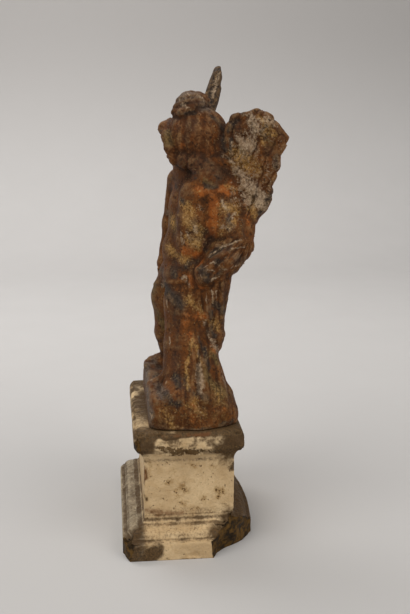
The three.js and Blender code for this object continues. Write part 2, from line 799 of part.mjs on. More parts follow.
function toSolid(geometry) {
  const bare = new THREE.BufferGeometry();
  bare.setAttribute("position", geometry.getAttribute("position").clone());
  bare.setIndex(geometry.getIndex());
  const merged = mergeVertices(bare, 1e-4);
  const mesh = new wasm.Mesh({
    numProp: 3,
    vertProperties: new Float32Array(merged.getAttribute("position").array),
    triVerts: new Uint32Array(merged.getIndex().array),
  });
  return new wasm.Manifold(mesh);
}

function fromSolid(solid) {
  const mesh = solid.getMesh();
  const geometry = new THREE.BufferGeometry();
  geometry.setAttribute("position", new THREE.BufferAttribute(mesh.vertProperties, 3));
  geometry.setIndex(new THREE.BufferAttribute(mesh.triVerts, 1));
  geometry.computeVertexNormals();
  return geometry;
}

// A slab of waste beyond a break: it starts at a point and faces outwards
function waste(start, facing, lean, height) {
  const box = new THREE.BoxGeometry(60, 90, height, 3, 4, 3);
  const spots = box.getAttribute("position");
  for (let index = 0; index < spots.count; index += 1) {
    const y = spots.getY(index);
    const z = spots.getZ(index);
    const uneven = 0.7 * Math.sin(0.23 * y + 0.6) + 0.6 * Math.cos(0.35 * z + 0.2 * y);
    if (spots.getX(index) < -29) {
      spots.setX(index, -30 + uneven);
    }
  }
  box.translate(30, 0, 0);
  box.rotateY(radians(lean));
  box.rotateZ(Math.atan2(facing[1], facing[0]));
  box.translate(...start);
  return toSolid(box);
}

function modelPlinth() {
  const profile = [...BASE_PROFILE, ...CAP_PROFILE];
  const levels = profile.map(([projection, height]) => plinthLevel(projection, height));
  const whole = toSolid(loft(levels));
  const backCorner = waste([45.5, 24.9, 6], [0.685, 0.729], 4, 26);
  const frontCorner = waste([55.5, -34, 5], [0.5, -0.866], -8, 16);
  const capCorner = waste([51, -28.6, 66], [0.72, -0.7], 10, 12);
  return fromSolid(whole.subtract(backCorner).subtract(frontCorner).subtract(capCorner));
}

function piece(name, geometry, look) {
  const mesh = new THREE.Mesh(geometry, new THREE.MeshStandardMaterial(look));
  mesh.name = name;
  return mesh;
}

const statue = new THREE.Group();
statue.add(piece("plinth", modelPlinth(), MARBLE));
statue.add(piece("statuette", modelStatuette(), TERRACOTTA));

export default statue;
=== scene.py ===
# A worn clay figure of a winged boy on its moulded marble plinth, photographed from its left.
# Lengths inside the sections are in millimetres until a mesh is made from them.

import math

import bpy
import numpy as np
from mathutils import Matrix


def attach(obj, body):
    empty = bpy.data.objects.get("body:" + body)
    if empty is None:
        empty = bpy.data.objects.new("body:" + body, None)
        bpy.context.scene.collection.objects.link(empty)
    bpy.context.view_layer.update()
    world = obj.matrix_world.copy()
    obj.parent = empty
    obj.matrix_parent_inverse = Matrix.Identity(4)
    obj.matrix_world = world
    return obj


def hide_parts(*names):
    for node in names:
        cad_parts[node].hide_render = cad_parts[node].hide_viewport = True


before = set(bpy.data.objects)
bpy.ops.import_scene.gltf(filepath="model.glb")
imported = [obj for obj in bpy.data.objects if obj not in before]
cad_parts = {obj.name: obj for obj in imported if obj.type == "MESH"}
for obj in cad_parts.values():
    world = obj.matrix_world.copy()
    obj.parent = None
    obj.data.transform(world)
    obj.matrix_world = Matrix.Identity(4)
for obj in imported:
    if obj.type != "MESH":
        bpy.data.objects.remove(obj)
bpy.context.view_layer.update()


# The plinth is one block of old cream marble: a plain die between a moulded foot and a
# moulded cap. It is worn and stained, and a corner of the foot at the back, the foot's
# front corner and a corner of the cap are broken off.
DIE_LENGTH = 94.0
DIE_WIDTH = 50.0
PLINTH_HEIGHT = 70.4
FRONT_SHARE = 0.95
BACK_SHARE = 0.86
BACK_BULGE = 3.0
FOOT_PROFILE = [
    (13, 0), (13, 9.2), (12.7, 9.8), (12, 10), (10.3, 10.1), (10.2, 11.3), (9.9, 11.9), (9.2, 12.9),
    (8.2, 13.7), (7, 14.3), (5.6, 14.7), (4.5, 14.9), (4.4, 15.9), (3, 16), (2, 16.3), (1.2, 16.9),
    (0.5, 17.7), (0.1, 18.6),
]
CAP_PROFILE = [
    (0, 53), (0.2, 54), (0.7, 55.2), (1.4, 56.5), (2.3, 57.5), (3.3, 58.2), (4.4, 58.5), (4.5, 59.5),
    (5.4, 60), (5.8, 61), (5.8, 66.6), (5.5, 68.4), (4.7, 69.7), (3.4, PLINTH_HEIGHT),
]
PROFILE_STEP = 0.5
LONG_STEPS = 112
SHORT_STEPS = 62
CORNER_STEPS = 5


def ease(low, high, value):
    t = np.clip((value - low) / (high - low), 0.0, 1.0)
    return t * t * (3 - 2 * t)


def bump(value, centre, width):
    return np.exp(-(((value - centre) / width) ** 2))


# Smooth random values from -1 to 1, one lump for each size in millimetres
def cloud(places, size, seed=0):
    scaled = places / size + seed * 17.3
    cell = np.floor(scaled).astype(np.int64)
    part = scaled - cell
    part = part * part * (3 - 2 * part)
    total = np.zeros(len(places))
    for corner in range(8):
        offset = np.array([corner & 1, corner >> 1 & 1, corner >> 2])
        weight = np.prod(np.where(offset, part, 1 - part), axis=1)
        number = ((cell + offset) * np.array([73856093, 19349663, 83492791])).sum(axis=1)
        number = ((number ^ (number >> 13)) * 1274126177) & 0x7FFFFFFF
        total += weight * (((number ^ (number >> 15)) & 0xFFFF) / 0x8000 - 1)
    return total


def crumb(places, size, seed=0, layers=3):
    total = np.zeros(len(places))
    for layer in range(layers):
        total += cloud(places, size / 2**layer, seed + layer) / 2**layer
    return total / 1.6


def smooth(piece):
    piece.data.polygons.foreach_set("use_smooth", np.ones(len(piece.data.polygons), bool))


def piece_from(name, points, faces):
    mesh = bpy.data.meshes.new(name)
    mesh.from_pydata((np.asarray(points) * 0.001).tolist(), [], faces)
    piece = bpy.data.objects.new(name, mesh)
    bpy.context.scene.collection.objects.link(piece)
    smooth(piece)
    mesh.update()
    return piece


# The mesh that a modifier gives takes the place of the piece's own, and the modifier goes
def apply_modifier(piece, modifier):
    depsgraph = bpy.context.evaluated_depsgraph_get()
    made = bpy.data.meshes.new_from_object(piece.evaluated_get(depsgraph))
    piece.modifiers.remove(modifier)
    piece.data = made
    made.name = piece.name
    smooth(piece)


def points_of(piece):
    places = np.zeros(len(piece.data.vertices) * 3)
    piece.data.vertices.foreach_get("co", places)
    return places.reshape(-1, 3) * 1000


def normals_of(piece):
    normals = np.zeros(len(piece.data.vertices) * 3)
    piece.data.vertex_normals.foreach_get("vector", normals)
    return normals.reshape(-1, 3)


def move_points(piece, places):
    piece.data.vertices.foreach_set("co", (places * 0.001).ravel())
    piece.data.update()


def give_values(piece, name, values):
    given = piece.data.attributes.new(name, "FLOAT", "POINT")
    given.data.foreach_set("value", values.astype(np.float32))


def give_mask(piece, name, values):
    give_values(piece, name, np.clip(values, 0, 1))


# The profile is drawn through its points at even steps, then its edges are softened by wear
def worn_profile():
    die = [(0, height) for height in range(21, 52, 2)]
    drawn = np.array(FOOT_PROFILE + die + CAP_PROFILE, float)
    lengths = np.hypot(*np.diff(drawn, axis=0).T)
    along = np.concatenate([[0], np.cumsum(lengths)])
    steps = np.linspace(0, along[-1], int(along[-1] / PROFILE_STEP))
    even = np.stack([np.interp(steps, along, drawn[:, axis]) for axis in (0, 1)], axis=1)
    soft = even.copy()
    soft[1:-1] = (even[:-2] + 2 * even[1:-1] + even[2:]) / 4
    return soft


def plinth_level(projection, height):
    half_length = DIE_LENGTH / 2 + projection
    back = DIE_WIDTH / 2 + projection * BACK_SHARE
    front = DIE_WIDTH / 2 + projection * FRONT_SHARE
    worn = min(0.6 + 0.28 * abs(projection), 4)
    bulge = BACK_BULGE * float(ease(4, 12, projection))
    corners = [
        (half_length - worn, back - worn, LONG_STEPS), (worn - half_length, back - worn, SHORT_STEPS),
        (worn - half_length, worn - front, LONG_STEPS), (half_length - worn, worn - front, SHORT_STEPS),
    ]
    level = []
    for corner, (x, y, steps) in enumerate(corners):
        angles = np.radians(90 * (corner + np.linspace(0, 1, CORNER_STEPS)))
        arc = np.stack([x + worn * np.cos(angles), y + worn * np.sin(angles)], axis=1)
        next_x, next_y, _ = corners[(corner + 1) % 4]
        turned = angles[-1]
        start = arc[-1]
        end = np.array([next_x + worn * math.cos(turned), next_y + worn * math.sin(turned)])
        share = np.linspace(0, 1, steps + 1)[1:-1, None]
        side = start + (end - start) * share
        if corner == 0:
            side[:, 1] += bulge * np.sin(math.pi * share[:, 0]) ** 2
        level += [arc, side]
    flat = np.concatenate(level)
    return np.column_stack([flat, np.full(len(flat), height)])


def lofted(levels):
    round_count = len(levels[0])
    rows = np.arange(len(levels) - 1)[:, None] * round_count
    here = np.arange(round_count)[None, :]
    after = (here + 1) % round_count
    low, high = rows + here, rows + after
    walls = np.stack([low, high, high + round_count, low + round_count], axis=2)
    return np.concatenate(levels), walls.reshape(-1, 4)


profile = worn_profile()
inner_steps = [-3, -9, -15, -18]
plinth_levels = [plinth_level(step, 0) for step in reversed(inner_steps)]
plinth_levels += [plinth_level(projection, height) for projection, height in profile]
plinth_levels += [plinth_level(step, PLINTH_HEIGHT) for step in inner_steps]
plinth_points, plinth_walls = lofted(plinth_levels)
level_size = len(plinth_levels[0])
plinth_ends = [
    np.arange(level_size)[::-1].tolist(),
    np.arange(len(plinth_points) - level_size, len(plinth_points)).tolist(),
]
plinth = piece_from("marble_plinth", plinth_points, plinth_walls.tolist() + plinth_ends)


def turned_by(angle):
    c, s = math.cos(angle), math.sin(angle)
    return np.array([[c, -s, 0], [s, c, 0], [0, 0, 1]])


# What broke away at a corner, as a block whose near face is the rough break
def waste_frame(start, facing, lean):
    lean = math.radians(lean)
    c, s = math.cos(lean), math.sin(lean)
    tip = np.array([[c, 0, s], [0, 1, 0], [-s, 0, c]])
    return np.array(start, float), turned_by(math.atan2(facing[1], facing[0])) @ tip


def break_face(across, up):
    uneven = 0.7 * np.sin(0.23 * across + 0.6) + 0.6 * np.cos(0.35 * up + 0.2 * across)
    rough = np.column_stack([across, up, np.zeros(len(across))])
    return uneven + 0.9 * crumb(rough, 7, 7) + 0.25 * crumb(rough, 2, 8)


def waste_block(name, start, facing, lean, height):
    origin, axes = waste_frame(start, facing, lean)
    heights = np.arange(-height / 2, height / 2 + 0.1, 1)
    across, up = np.meshgrid(np.arange(-30, 30.1, 1), heights, indexing="ij")
    near = np.column_stack([break_face(across.ravel(), up.ravel()), across.ravel(), up.ravel()])
    far = near.copy()
    far[:, 0] = 60
    count = across.size
    number = np.arange(count).reshape(across.shape)
    corners = [number[:-1, :-1], number[:-1, 1:], number[1:, 1:], number[1:, :-1]]
    near_faces = np.stack(corners, axis=2).reshape(-1, 4)
    rim = np.concatenate([number[:-1, 0], number[-1, :-1], number[:0:-1, -1], number[0, :0:-1]])
    after = np.roll(rim, -1)
    sides = np.stack([rim, after, after + count, rim + count], axis=1)
    faces = np.concatenate([near_faces, near_faces[:, ::-1] + count, sides])
    return piece_from(name, np.concatenate([near, far]) @ axes.T + origin, faces.tolist())


BREAKS = [
    ((45.5, 24.9, 6), (0.685, 0.729), 4, 26),
    ((55.5, -34, 5), (0.5, -0.866), -8, 16),
    ((51, -28.6, 66), (0.72, -0.7), 10, 12),
]
for index, (start, facing, lean, height) in enumerate(BREAKS):
    block = waste_block(f"waste_{index}", start, facing, lean, height)
    cut = plinth.modifiers.new("break", "BOOLEAN")
    cut.operation = "DIFFERENCE"
    cut.solver = "MANIFOLD"
    cut.object = block
    apply_modifier(plinth, cut)
    bpy.data.objects.remove(block)

places = points_of(plinth)
broken = np.zeros(len(places))
for start, facing, lean, height in BREAKS:
    origin, axes = waste_frame(start, facing, lean)
    local = (places - origin) @ axes
    off = np.abs(local[:, 0] - break_face(local[:, 1], local[:, 2]))
    beside = ease(height / 2 + 0.5, height / 2, np.abs(local[:, 2]))
    broken = np.maximum(broken, ease(0.35, 0.1, off) * beside)

# Wear goes in from the surface: waves all over, nicks along the sharp edges, and a few
# larger chips, each a [place, reach, depth]. The cap's lower edge sags in the middle.
CHIPS = [
    ((47, 24, 18), 5, 1.8), ((52, -29, 68), 6, 2.0), ((53, 27, 68), 5, 1.6), ((53, 3, 70), 4, 1),
    ((-53, -29, 69), 6, 1.5), ((-20, -31, 69.5), 5, 1.2), ((12, -31, 69.5), 4, 1.1), ((35, -31, 70), 3, 1),
    ((60, 12, 9.5), 4, 1), ((60, -12, 9.6), 3.5, 0.9), ((-60, -38, 9), 7, 1.4), ((-30, 33, 69), 6, 1.2),
    ((55, -33, 13), 9, 2.2), ((52, 20, 15), 7, 2.4), ((60, 2, 0.5), 5, 0.9), ((53, -18, 69), 5, 0.9),
]
EDGE_HEIGHTS = [9.7, 14.8, 16, 58.4, 60, 69.6]
EDGE_WIDTH = 0.8
outward = normals_of(plinth)
edge = np.zeros(len(places))
for height in EDGE_HEIGHTS:
    edge = np.maximum(edge, bump(places[:, 2], height, EDGE_WIDTH))
edge *= 1 - broken
wall = ease(0.2, 0.6, np.hypot(outward[:, 0], outward[:, 1]))
depth = 0.16 * crumb(places, 9, 1) + 0.1 * crumb(places, 2.4, 2)
depth -= 1.1 * edge * ease(0.1, 0.75, cloud(places, 3.1, 3))
depth -= 0.4 * edge * ease(0.1, 0.6, cloud(places, 1.4, 4))
depth -= 0.4 * ease(0.55, 0.85, cloud(places, 1.9, 5))
for place, reach, most in CHIPS:
    away = np.linalg.norm(places - np.array(place), axis=1)
    depth -= most * ease(1, 0.2, away / reach + 0.3 * cloud(places, 2, 6))
above_floor = ease(0, 1.5, places[:, 2])
worn_places = places + outward * (depth * np.maximum(wall, 0.4) * above_floor)[:, None]
near_end = ease(44, 46, places[:, 0]) * ease(24, 8, np.abs(places[:, 1]))
worn_places[:, 2] -= 1.9 * near_end * bump(places[:, 2], 58, 3)
move_points(plinth, worn_places)
give_mask(plinth, "broken", broken)


# A node's inputs are given by name or number: each a number, a colour or another node's output
def put(socket, value):
    if isinstance(value, bpy.types.NodeSocket):
        socket.id_data.links.new(value, socket)
    elif isinstance(value, tuple) and socket.type == "RGBA":
        socket.default_value = (*value, 1)
    else:
        socket.default_value = value


def add(tree, kind, inputs, **settings):
    node = tree.nodes.new(kind)
    for name, value in settings.items():
        setattr(node, name, value)
    for key, value in inputs.items():
        put(node.inputs[key], value)
    return node.outputs


def calc(operation, first, *others):
    return add(first.id_data, "ShaderNodeMath", dict(enumerate((first, *others))), operation=operation)[0]


def times(first, second):
    return calc("MULTIPLY", first, second)


def grade(value, low, high, at_low=0.0, at_high=1.0):
    inputs = dict(enumerate((value, low, high, at_low, at_high)))
    return add(value.id_data, "ShaderNodeMapRange", inputs, interpolation_type="SMOOTHSTEP")[0]


def tint(share, under, over):
    return add(share.id_data, "ShaderNodeMix", {0: share, 6: under, 7: over}, data_type="RGBA")[2]


def mottled(noise, low, high, dark, light):
    return tint(grade(noise, low, high), dark, light)


def spots(where, size, detail=3.0, rough=0.6, warp=0.0, offset=0.0):
    moved = add(where.id_data, "ShaderNodeVectorMath", {0: where, 1: (offset, offset, offset)})[0]
    inputs = {
        "Vector": moved, "Scale": 1000 / size, "Detail": detail, "Roughness": rough, "Distortion": warp
    }
    return add(where.id_data, "ShaderNodeTexNoise", inputs)["Fac"]


def mask_of(tree, name):
    return add(tree, "ShaderNodeAttribute", {}, attribute_name=name)["Fac"]


# A mask whose soft edge is broken up by noise
def soft_mask(mask, noise, bite, low=0.12, high=0.92):
    eaten = calc("MULTIPLY_ADD", calc("SUBTRACT", noise, 0.5), bite, mask)
    return times(grade(eaten, low, high), grade(mask, 0.03, 0.25))


# The colour with another laid over it where the named mask is
def covered(colour, name, noise, bite, share, over):
    return tint(times(soft_mask(mask_of(noise.id_data, name), noise, bite), share), colour, over)


def new_finish(name):
    finish = bpy.data.materials.new(name)
    finish.use_nodes = True
    tree = finish.node_tree
    where = tree.nodes.new("ShaderNodeTexCoord").outputs["Object"]
    return finish, tree, tree.nodes["Principled BSDF"].inputs, where


# Old stone and clay share a dull sheen and a fine grain, whose height is given in metres
SHEEN = 0.12
GRAIN_HEIGHT = 0.0006


def finish_surface(shader, colour, roughness, height):
    grained = add(height.id_data, "ShaderNodeBump", {"Height": height, "Distance": GRAIN_HEIGHT})
    put(shader["Base Color"], colour)
    put(shader["Roughness"], roughness)
    put(shader["Specular IOR Level"], SHEEN)
    put(shader["Normal"], grained["Normal"])


# Stains, by mask: [from, to, reach, strength], painted round a line between two places
STAINS = {
    "brown": [
        ((53, -20, 69), (53, 26, 69.5), 2.2, 0.9), ((52, -28, 61), (52, -23, 65), 7, 1.4),
        ((52, 24, 58), (51, 29, 68), 9, 1.5), ((60, -31, 6), (60, -37, 2), 9, 0.9),
        ((56, -33, 12), (53, -28, 14), 5, 1.1), ((60, -24, 1), (60, -18, 5), 5, 1),
        ((60, -14, 0), (60, 10, 0), 1.8, 0.8), ((58, 18, 12), (52, 24, 15), 8, 1.3),
        ((46, 34, 8), (-20, 40, 4), 11, 1.3), ((58, 22, 2), (52, 32, 10), 9, 1.3),
        ((47, 24.5, 49.5), (47, 24.5, 48.5), 1.7, 1.3), ((47, -25.4, 50), (47, -25, 30), 0.9, 0.9),
        ((47, -24, 22), (47, -14, 20.4), 1.1, 0.6), ((47, -7.5, 17.5), (47, -6.5, 17), 1.2, 1),
    ],
    "pit": [
        ((52, -16, 62), (52, -6, 60), 2.6, 1), ((52, -6, 60), (52, 4, 60.5), 2.4, 1),
        ((52, 4, 61), (52, 14, 61), 1.6, 0.8),
    ],
    "ochre": [
        ((47, -12, 39), (47, -11, 40), 2.2, 0.9), ((47, -7.4, 35), (47, -6, 30), 1.5, 0.7),
        ((47, -4, 27.5), (47, -2, 26.5), 2, 0.8),
        ((47, -4.5, 37), (47, -2.5, 35), 2.4, 0.9), ((47, 7.4, 28.7), (47, 8, 29), 1.8, 0.9),
        ((47, 15.5, 34.5), (47, 18.5, 33), 2.2, 1), ((47, 16.4, 31), (47, 15.8, 29), 1.3, 1),
        ((47, 4.6, 23.9), (47, 5.4, 24), 1.5, 0.8), ((47, -8.3, 49), (47, -8.3, 45), 1.4, 0.5),
        ((47, 12, 48.4), (47, 14, 48), 2, 0.7), ((47, 1, 49.4), (47, 3, 49), 1.7, 0.7),
        ((47, -22.4, 52), (47, -22, 44), 1.6, 0.7),
    ],
    "rust": [
        ((47, -25, 48), (47, -24.6, 43), 1.8, 1), ((53, -14, 69.8), (53, 10, 69.8), 2, 1),
        ((47, -24, 23), (47, -4, 21), 2.2, 0.8),
    ],
    "pale": [
        ((60, -11, 6), (60, 9, 4), 4.6, 1.3), ((52, -16, 65), (52, 17, 65), 2.6, 0.95),
    ],
}


# The noise that shifts the places keeps a mark's outline from looking brushed on
def painted(places, marks, stray=1.2):
    drifted = places + stray * np.stack([crumb(places, 3.2 * stray, seed) for seed in (41, 44, 47)], axis=1)
    total = np.zeros(len(places))
    for start, end, reach, strength in marks:
        start = np.array(start, float)
        along = np.array(end, float) - start
        share = np.clip((drifted - start) @ along / max(along @ along, 1e-6), 0, 1)
        away = np.linalg.norm(drifted - start - share[:, None] * along, axis=1)
        total = np.maximum(total, strength * bump(away, 0, reach))
    return total


x, y, z = places.T
lower = ease(11, 3, z)
pale = painted(places, STAINS["pale"], 2)
brown = painted(places, STAINS["brown"], 2.4)
brown += 0.35 * lower * ease(-0.2, 0.5, crumb(places, 16, 11))
brown += 0.45 * ease(58, 60, z) * ease(-0.4, 0.4, crumb(places, 6, 17))
brown += 1.1 * ease(25, 28, y) * ease(-20, 10, x) * ease(52, 46, z)
brown += 1.3 * ease(24.8, 26.5, y) * ease(21, 17, z) * ease(-45, 15, x + 22 * crumb(places, 18, 19))
brown += 0.8 * ease(65, 69, z) * ease(-0.5, 0.3, crumb(places, 9, 12))
brown += 0.4 * ease(0.3, 0.7, crumb(places, 24, 13))
give_mask(plinth, "brown", np.maximum(brown, broken) - 0.9 * pale)
pit = painted(places, STAINS["pit"])
pit += 0.4 * bump(z, 58.6, 1.1) * ease(0, 0.5, crumb(places, 8, 14))
give_mask(plinth, "pit", pit)
give_mask(plinth, "ochre", painted(places, STAINS["ochre"]) + 0.5 * ease(0.35, 0.7, crumb(places, 7, 15)))
give_mask(plinth, "rust", painted(places, STAINS["rust"], 2))
# The sides are greyer than the front: weathering, and on the left side painted cool light that falls on it
shaded_side = ease(-24, -27, y) * ease(70, 60, z)
give_mask(plinth, "weathered_and_side_lit", 0.75 * shaded_side + 0.5 * ease(24, 27, y) + 0.3 * ease(-44, -50, x))

# Dirt and painted shade darken the mouldings' inner corners, each a [height, half width, strength]
CORNER_DIRT_AND_SHADE = [
    (10.6, 0.9, 1), (12.6, 1.2, 0.6), (14.6, 2.5, 0.4), (16.3, 0.8, 0.9), (18.4, 1.2, 1.1),
    (20.6, 0.5, 0.8), (22, 3.5, 0.45), (53, 1.6, 0.6), (59, 0.6, 0.45), (70.2, 0.8, 0.4),
]
dirt_and_shade = np.zeros(len(places))
for height, width, strength in CORNER_DIRT_AND_SHADE:
    dirt_and_shade = np.maximum(dirt_and_shade, strength * bump(z, height, width))
# The corners are painted darker still on the shaded left side, and the cap's top is darker under the figure
under_figure = ease(56, 47, np.hypot(x - 2, 1.7 * (y - 3))) * ease(70, 70.3, z)
dirt_and_shade *= (0.75 + 0.5 * crumb(places, 5, 16)) * (1 + 0.4 * shaded_side) * (1 - 0.6 * pale)
dirt_and_shade += 0.7 * under_figure
dirt_and_shade += 0.75 * ease(61, 63, z) * ease(69, 67, z) * ease(-0.5, 0.4, crumb(places, 4, 18))
give_mask(plinth, "dirt_and_shade", dirt_and_shade)

marble, tree, shader, where = new_finish("worn marble")
fine = spots(where, 1.2, 4, 0.7)
coarse = spots(where, 5, 6, 0.7, 0.6, 0.3)
broad = spots(where, 22, 3, 0.5, 0.4, 0.7)
colour = mottled(broad, 0.35, 0.65, (0.56, 0.395, 0.215), (0.72, 0.535, 0.31))
colour = tint(grade(coarse, 0.42, 0.7, 0, 0.45), colour, (0.46, 0.29, 0.13))
colour = tint(grade(fine, 0.48, 0.72, 0, 0.4), colour, (0.38, 0.23, 0.10))
beside_vein = calc("ABSOLUTE", calc("SUBTRACT", spots(where, 14, 6, 0.7, 2.2, 1.9), 0.5))
colour = tint(grade(beside_vein, 0, 0.02, 0.25, 0), colour, (0.42, 0.33, 0.22))
grey_stone = mottled(coarse, 0.35, 0.65, (0.15, 0.115, 0.075), (0.42, 0.355, 0.25))
# Grey over the sides, partly painted cool light
colour = covered(colour, "weathered_and_side_lit", broad, 0.3, 1, grey_stone)
colour = covered(colour, "ochre", fine, 1.8, 0.6, (0.33, 0.19, 0.06))
speckled = calc("MULTIPLY_ADD", spots(where, 0.9, 2, 0.5, 0, 2.1), 2.4, mask_of(tree, "ochre"))
colour = tint(grade(speckled, 2.0, 2.3), colour, (0.10, 0.05, 0.016))
stain_colour = mottled(fine, 0.35, 0.65, (0.03, 0.016, 0.006), (0.12, 0.066, 0.025))
colour = covered(colour, "brown", coarse, 1.6, 0.95, stain_colour)
colour = covered(colour, "rust", coarse, 1.6, 0.7, (0.16, 0.062, 0.022))
# Dirt, with painted shade in the mouldings' corners
colour = covered(colour, "dirt_and_shade", fine, 1.2, 0.9, (0.075, 0.042, 0.018))
break_colour = mottled(coarse, 0.4, 0.62, (0.016, 0.009, 0.003), (0.12, 0.062, 0.014))
colour = covered(colour, "broken", fine, 0.5, 1, break_colour)
pitted = calc("MULTIPLY_ADD", spots(where, 1.6, 3, 0.6, 0, 3.3), 1.8, mask_of(tree, "pit"))
pit = grade(pitted, 1.45, 1.7, 0, 0.9)
colour = tint(pit, colour, (0.085, 0.043, 0.012))
pock = grade(spots(where, 1.9, 2, 0.5, 0, 4.4), 0.66, 0.74)
colour = tint(times(pock, 0.75), colour, (0.12, 0.062, 0.022))
grain = calc("ADD", times(fine, 0.7), coarse)
height = calc("SUBTRACT", grain, calc("ADD", pit, times(pock, 0.6)))
finish_surface(shader, colour, grade(coarse, 0.3, 0.7, 0.5, 0.72), height)
plinth.data.materials.clear()
plinth.data.materials.append(marble)
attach(plinth, "root")
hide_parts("plinth")


# The boy's body is pressed clay, modelled as round masses that run into each other. A
# form is a function of places that is negative inside the clay, near to a distance.
TERRACOTTA_BOTTOM = PLINTH_HEIGHT + 0.3
GROUND = 88.0
CHEST_TURN = 20


def join(first, second, soft):
    reach = np.maximum(soft - np.abs(first - second), 0) / soft
    return np.minimum(first, second) - reach * reach * soft * 0.25


def keep(first, second, soft):
    return -join(-first, -second, soft)


def bone(start, end):
    start, end = np.array(start, float), np.array(end, float)
    along = end[:3] - start[:3]
    square = along @ along

    def form(p):
        from_start = p - start[:3]
        share = np.clip(from_start @ along / square, 0, 1)
        gap = np.linalg.norm(from_start - share[:, None] * along, axis=1)
        return gap - start[3] - (end[3] - start[3]) * share

    return form


def mass(centre, half, turn=0):
    centre, half = np.array(centre, float), np.array(half, float)
    spin = turned_by(math.radians(turn))

    def form(p):
        scaled = (p - centre) @ spin / half
        reach = np.linalg.norm(scaled, axis=1)
        slope = np.maximum(np.linalg.norm(scaled / half, axis=1), 1e-6)
        return reach * (reach - 1) / slope

    return form


def together(forms, soft):
    def form(p):
        nearest = forms[0](p)
        for other in forms[1:]:
            nearest = join(nearest, other(p), soft)
        return nearest

    return form


def limb(points, soft=2):
    return together([bone(start, end) for start, end in zip(points, points[1:])], soft)


belly = mass([1, 2.8, 163], [16.5, 14.2, 14.5], 8)
hips = mass([1.5, 3.5, 149], [19, 14.2, 12.5], 4)
LEFT_LEG = [
    [10, 2, 146, 12], [13, 1, 134, 12], [17.5, -3, 111, 8.4], [19, -3.6, 103, 7.6], [21, -4.5, 93, 6],
]
RIGHT_LEG = [
    [-8, 0, 147, 12.5], [-12.5, -4.8, 133, 12], [-16.5, -7.2, 111, 7.7], [-18.5, -4.6, 102, 7.6],
    [-20, -5, 93, 5.4],
]
left_leg = limb(LEFT_LEG, 3)
right_leg = limb(RIGHT_LEG, 3)
buttocks = together([mass([-8, 12, 143], [9, 8, 10]), mass([9, 13, 144], [9.5, 8, 10])], 2)
flank = limb([[15, 6.5, 195, 9], [16, 6, 182, 9.5], [16, 5.5, 170, 9.5], [16, 4.5, 158, 8.5]])
trunk = together(
    [
        mass([0, 5.5, 187], [18, 12, 17], CHEST_TURN),
        mass([0.5, 4.5, 175], [15.5, 12, 14], CHEST_TURN / 2),
        belly,
        hips,
        limb([[-15, 1.6, 202, 8.2], [0, 8, 202, 8.5], [15, 14, 200, 8]]),
        limb([[0, 8, 198, 8.5], [-1, 6, 212, 8]]),
        mass([13, 18, 184], [9.5, 10, 22]),
        flank,
        buttocks,
        left_leg,
        right_leg,
    ],
    4,
)
right_arm = limb([[-19, 1, 201, 8], [-25, -3, 176, 6.3], [-23.5, -5.6, 161, 5.2], [-20.5, -8, 152, 5.4]], 3)
LEFT_ELBOW = [26.5, 29, 169, 7.8]
LEFT_HAND = [31, 10.5, 153, 6.6]
left_upper_arm = limb([[18, 17, 200, 8.2], [21, 23, 188, 8.4], [23, 24.5, 178, 8.4], LEFT_ELBOW], 3)


# Fingers lie side by side on the thigh, and toes side by side on the ground
def row_of_bones(start, end, across, count, thick):
    start, end, across = (np.array(value, float) for value in (start, end, across))
    spread = np.linspace(-0.5, 0.5, count)
    row = [bone([*(start + across * s), thick], [*(end + across * s), thick]) for s in spread]
    return together(row, 0.6)


fingers = row_of_bones([-20.4, -9.6, 150], [-19.2, -8.6, 142.5], [-7, 4.6, 0.6], 4, 1.45)
left_toes = row_of_bones([23.6, -15, 89.6], [24.8, -19.4, 89.4], [7, 1.6, 0], 5, 1.35)
right_toes = row_of_bones([-21.4, -15.6, 89.6], [-22.2, -20, 89.4], [7.4, -0.6, 0], 5, 1.35)
left_foot = limb([[21, -3, 91.5, 5.2], [23, -10, 91, 4.8], [24.5, -15.5, 90, 4]])
right_foot = limb([[-20, -2.5, 91.5, 5.2], [-21, -11, 91, 5], [-22, -16.5, 90, 4.2]])
navel = mass([-2.4, -12, 163], [1.5, 2.6, 1.7])
chest_line = bone([-7.5, -6, 196, 1], [-4.6, -10.6, 172, 0.6])
back_line = bone([4, 20, 196, 1.2], [3, 17.6, 156, 0.8])


def flesh(p):
    standing = join(join(trunk(p), left_upper_arm(p), 9), right_arm(p), 2)
    hollows = join(navel(p), join(chest_line(p), back_line(p), 1), 1)
    standing = keep(standing, -hollows, 2.5)
    feet = join(join(left_foot(p), left_toes(p), 1), join(right_foot(p), right_toes(p), 1), 1)
    return join(join(standing, feet, 2), fingers(p), 1)


# The head is turned to the boy's right and bowed. The hair is combed smooth from a bow on
# top to a roll of curls round the face and at the neck; the face is calm and plain.
HEAD_CENTRE = np.array([0, 8, 225.5])
HEAD_TURN = math.radians(30)
HEAD_NOD = math.radians(15)


# The ways left, ahead and up of something that looks along a turn, and down by a tilt
def looking(turn, tilt):
    left = np.array([-math.cos(turn), -math.sin(turn), 0])
    level = np.array([-math.sin(turn), math.cos(turn), 0])
    ahead = level * math.cos(tilt) - np.array([0, 0, math.sin(tilt)])
    return np.column_stack([left, ahead, np.cross(ahead, left)])


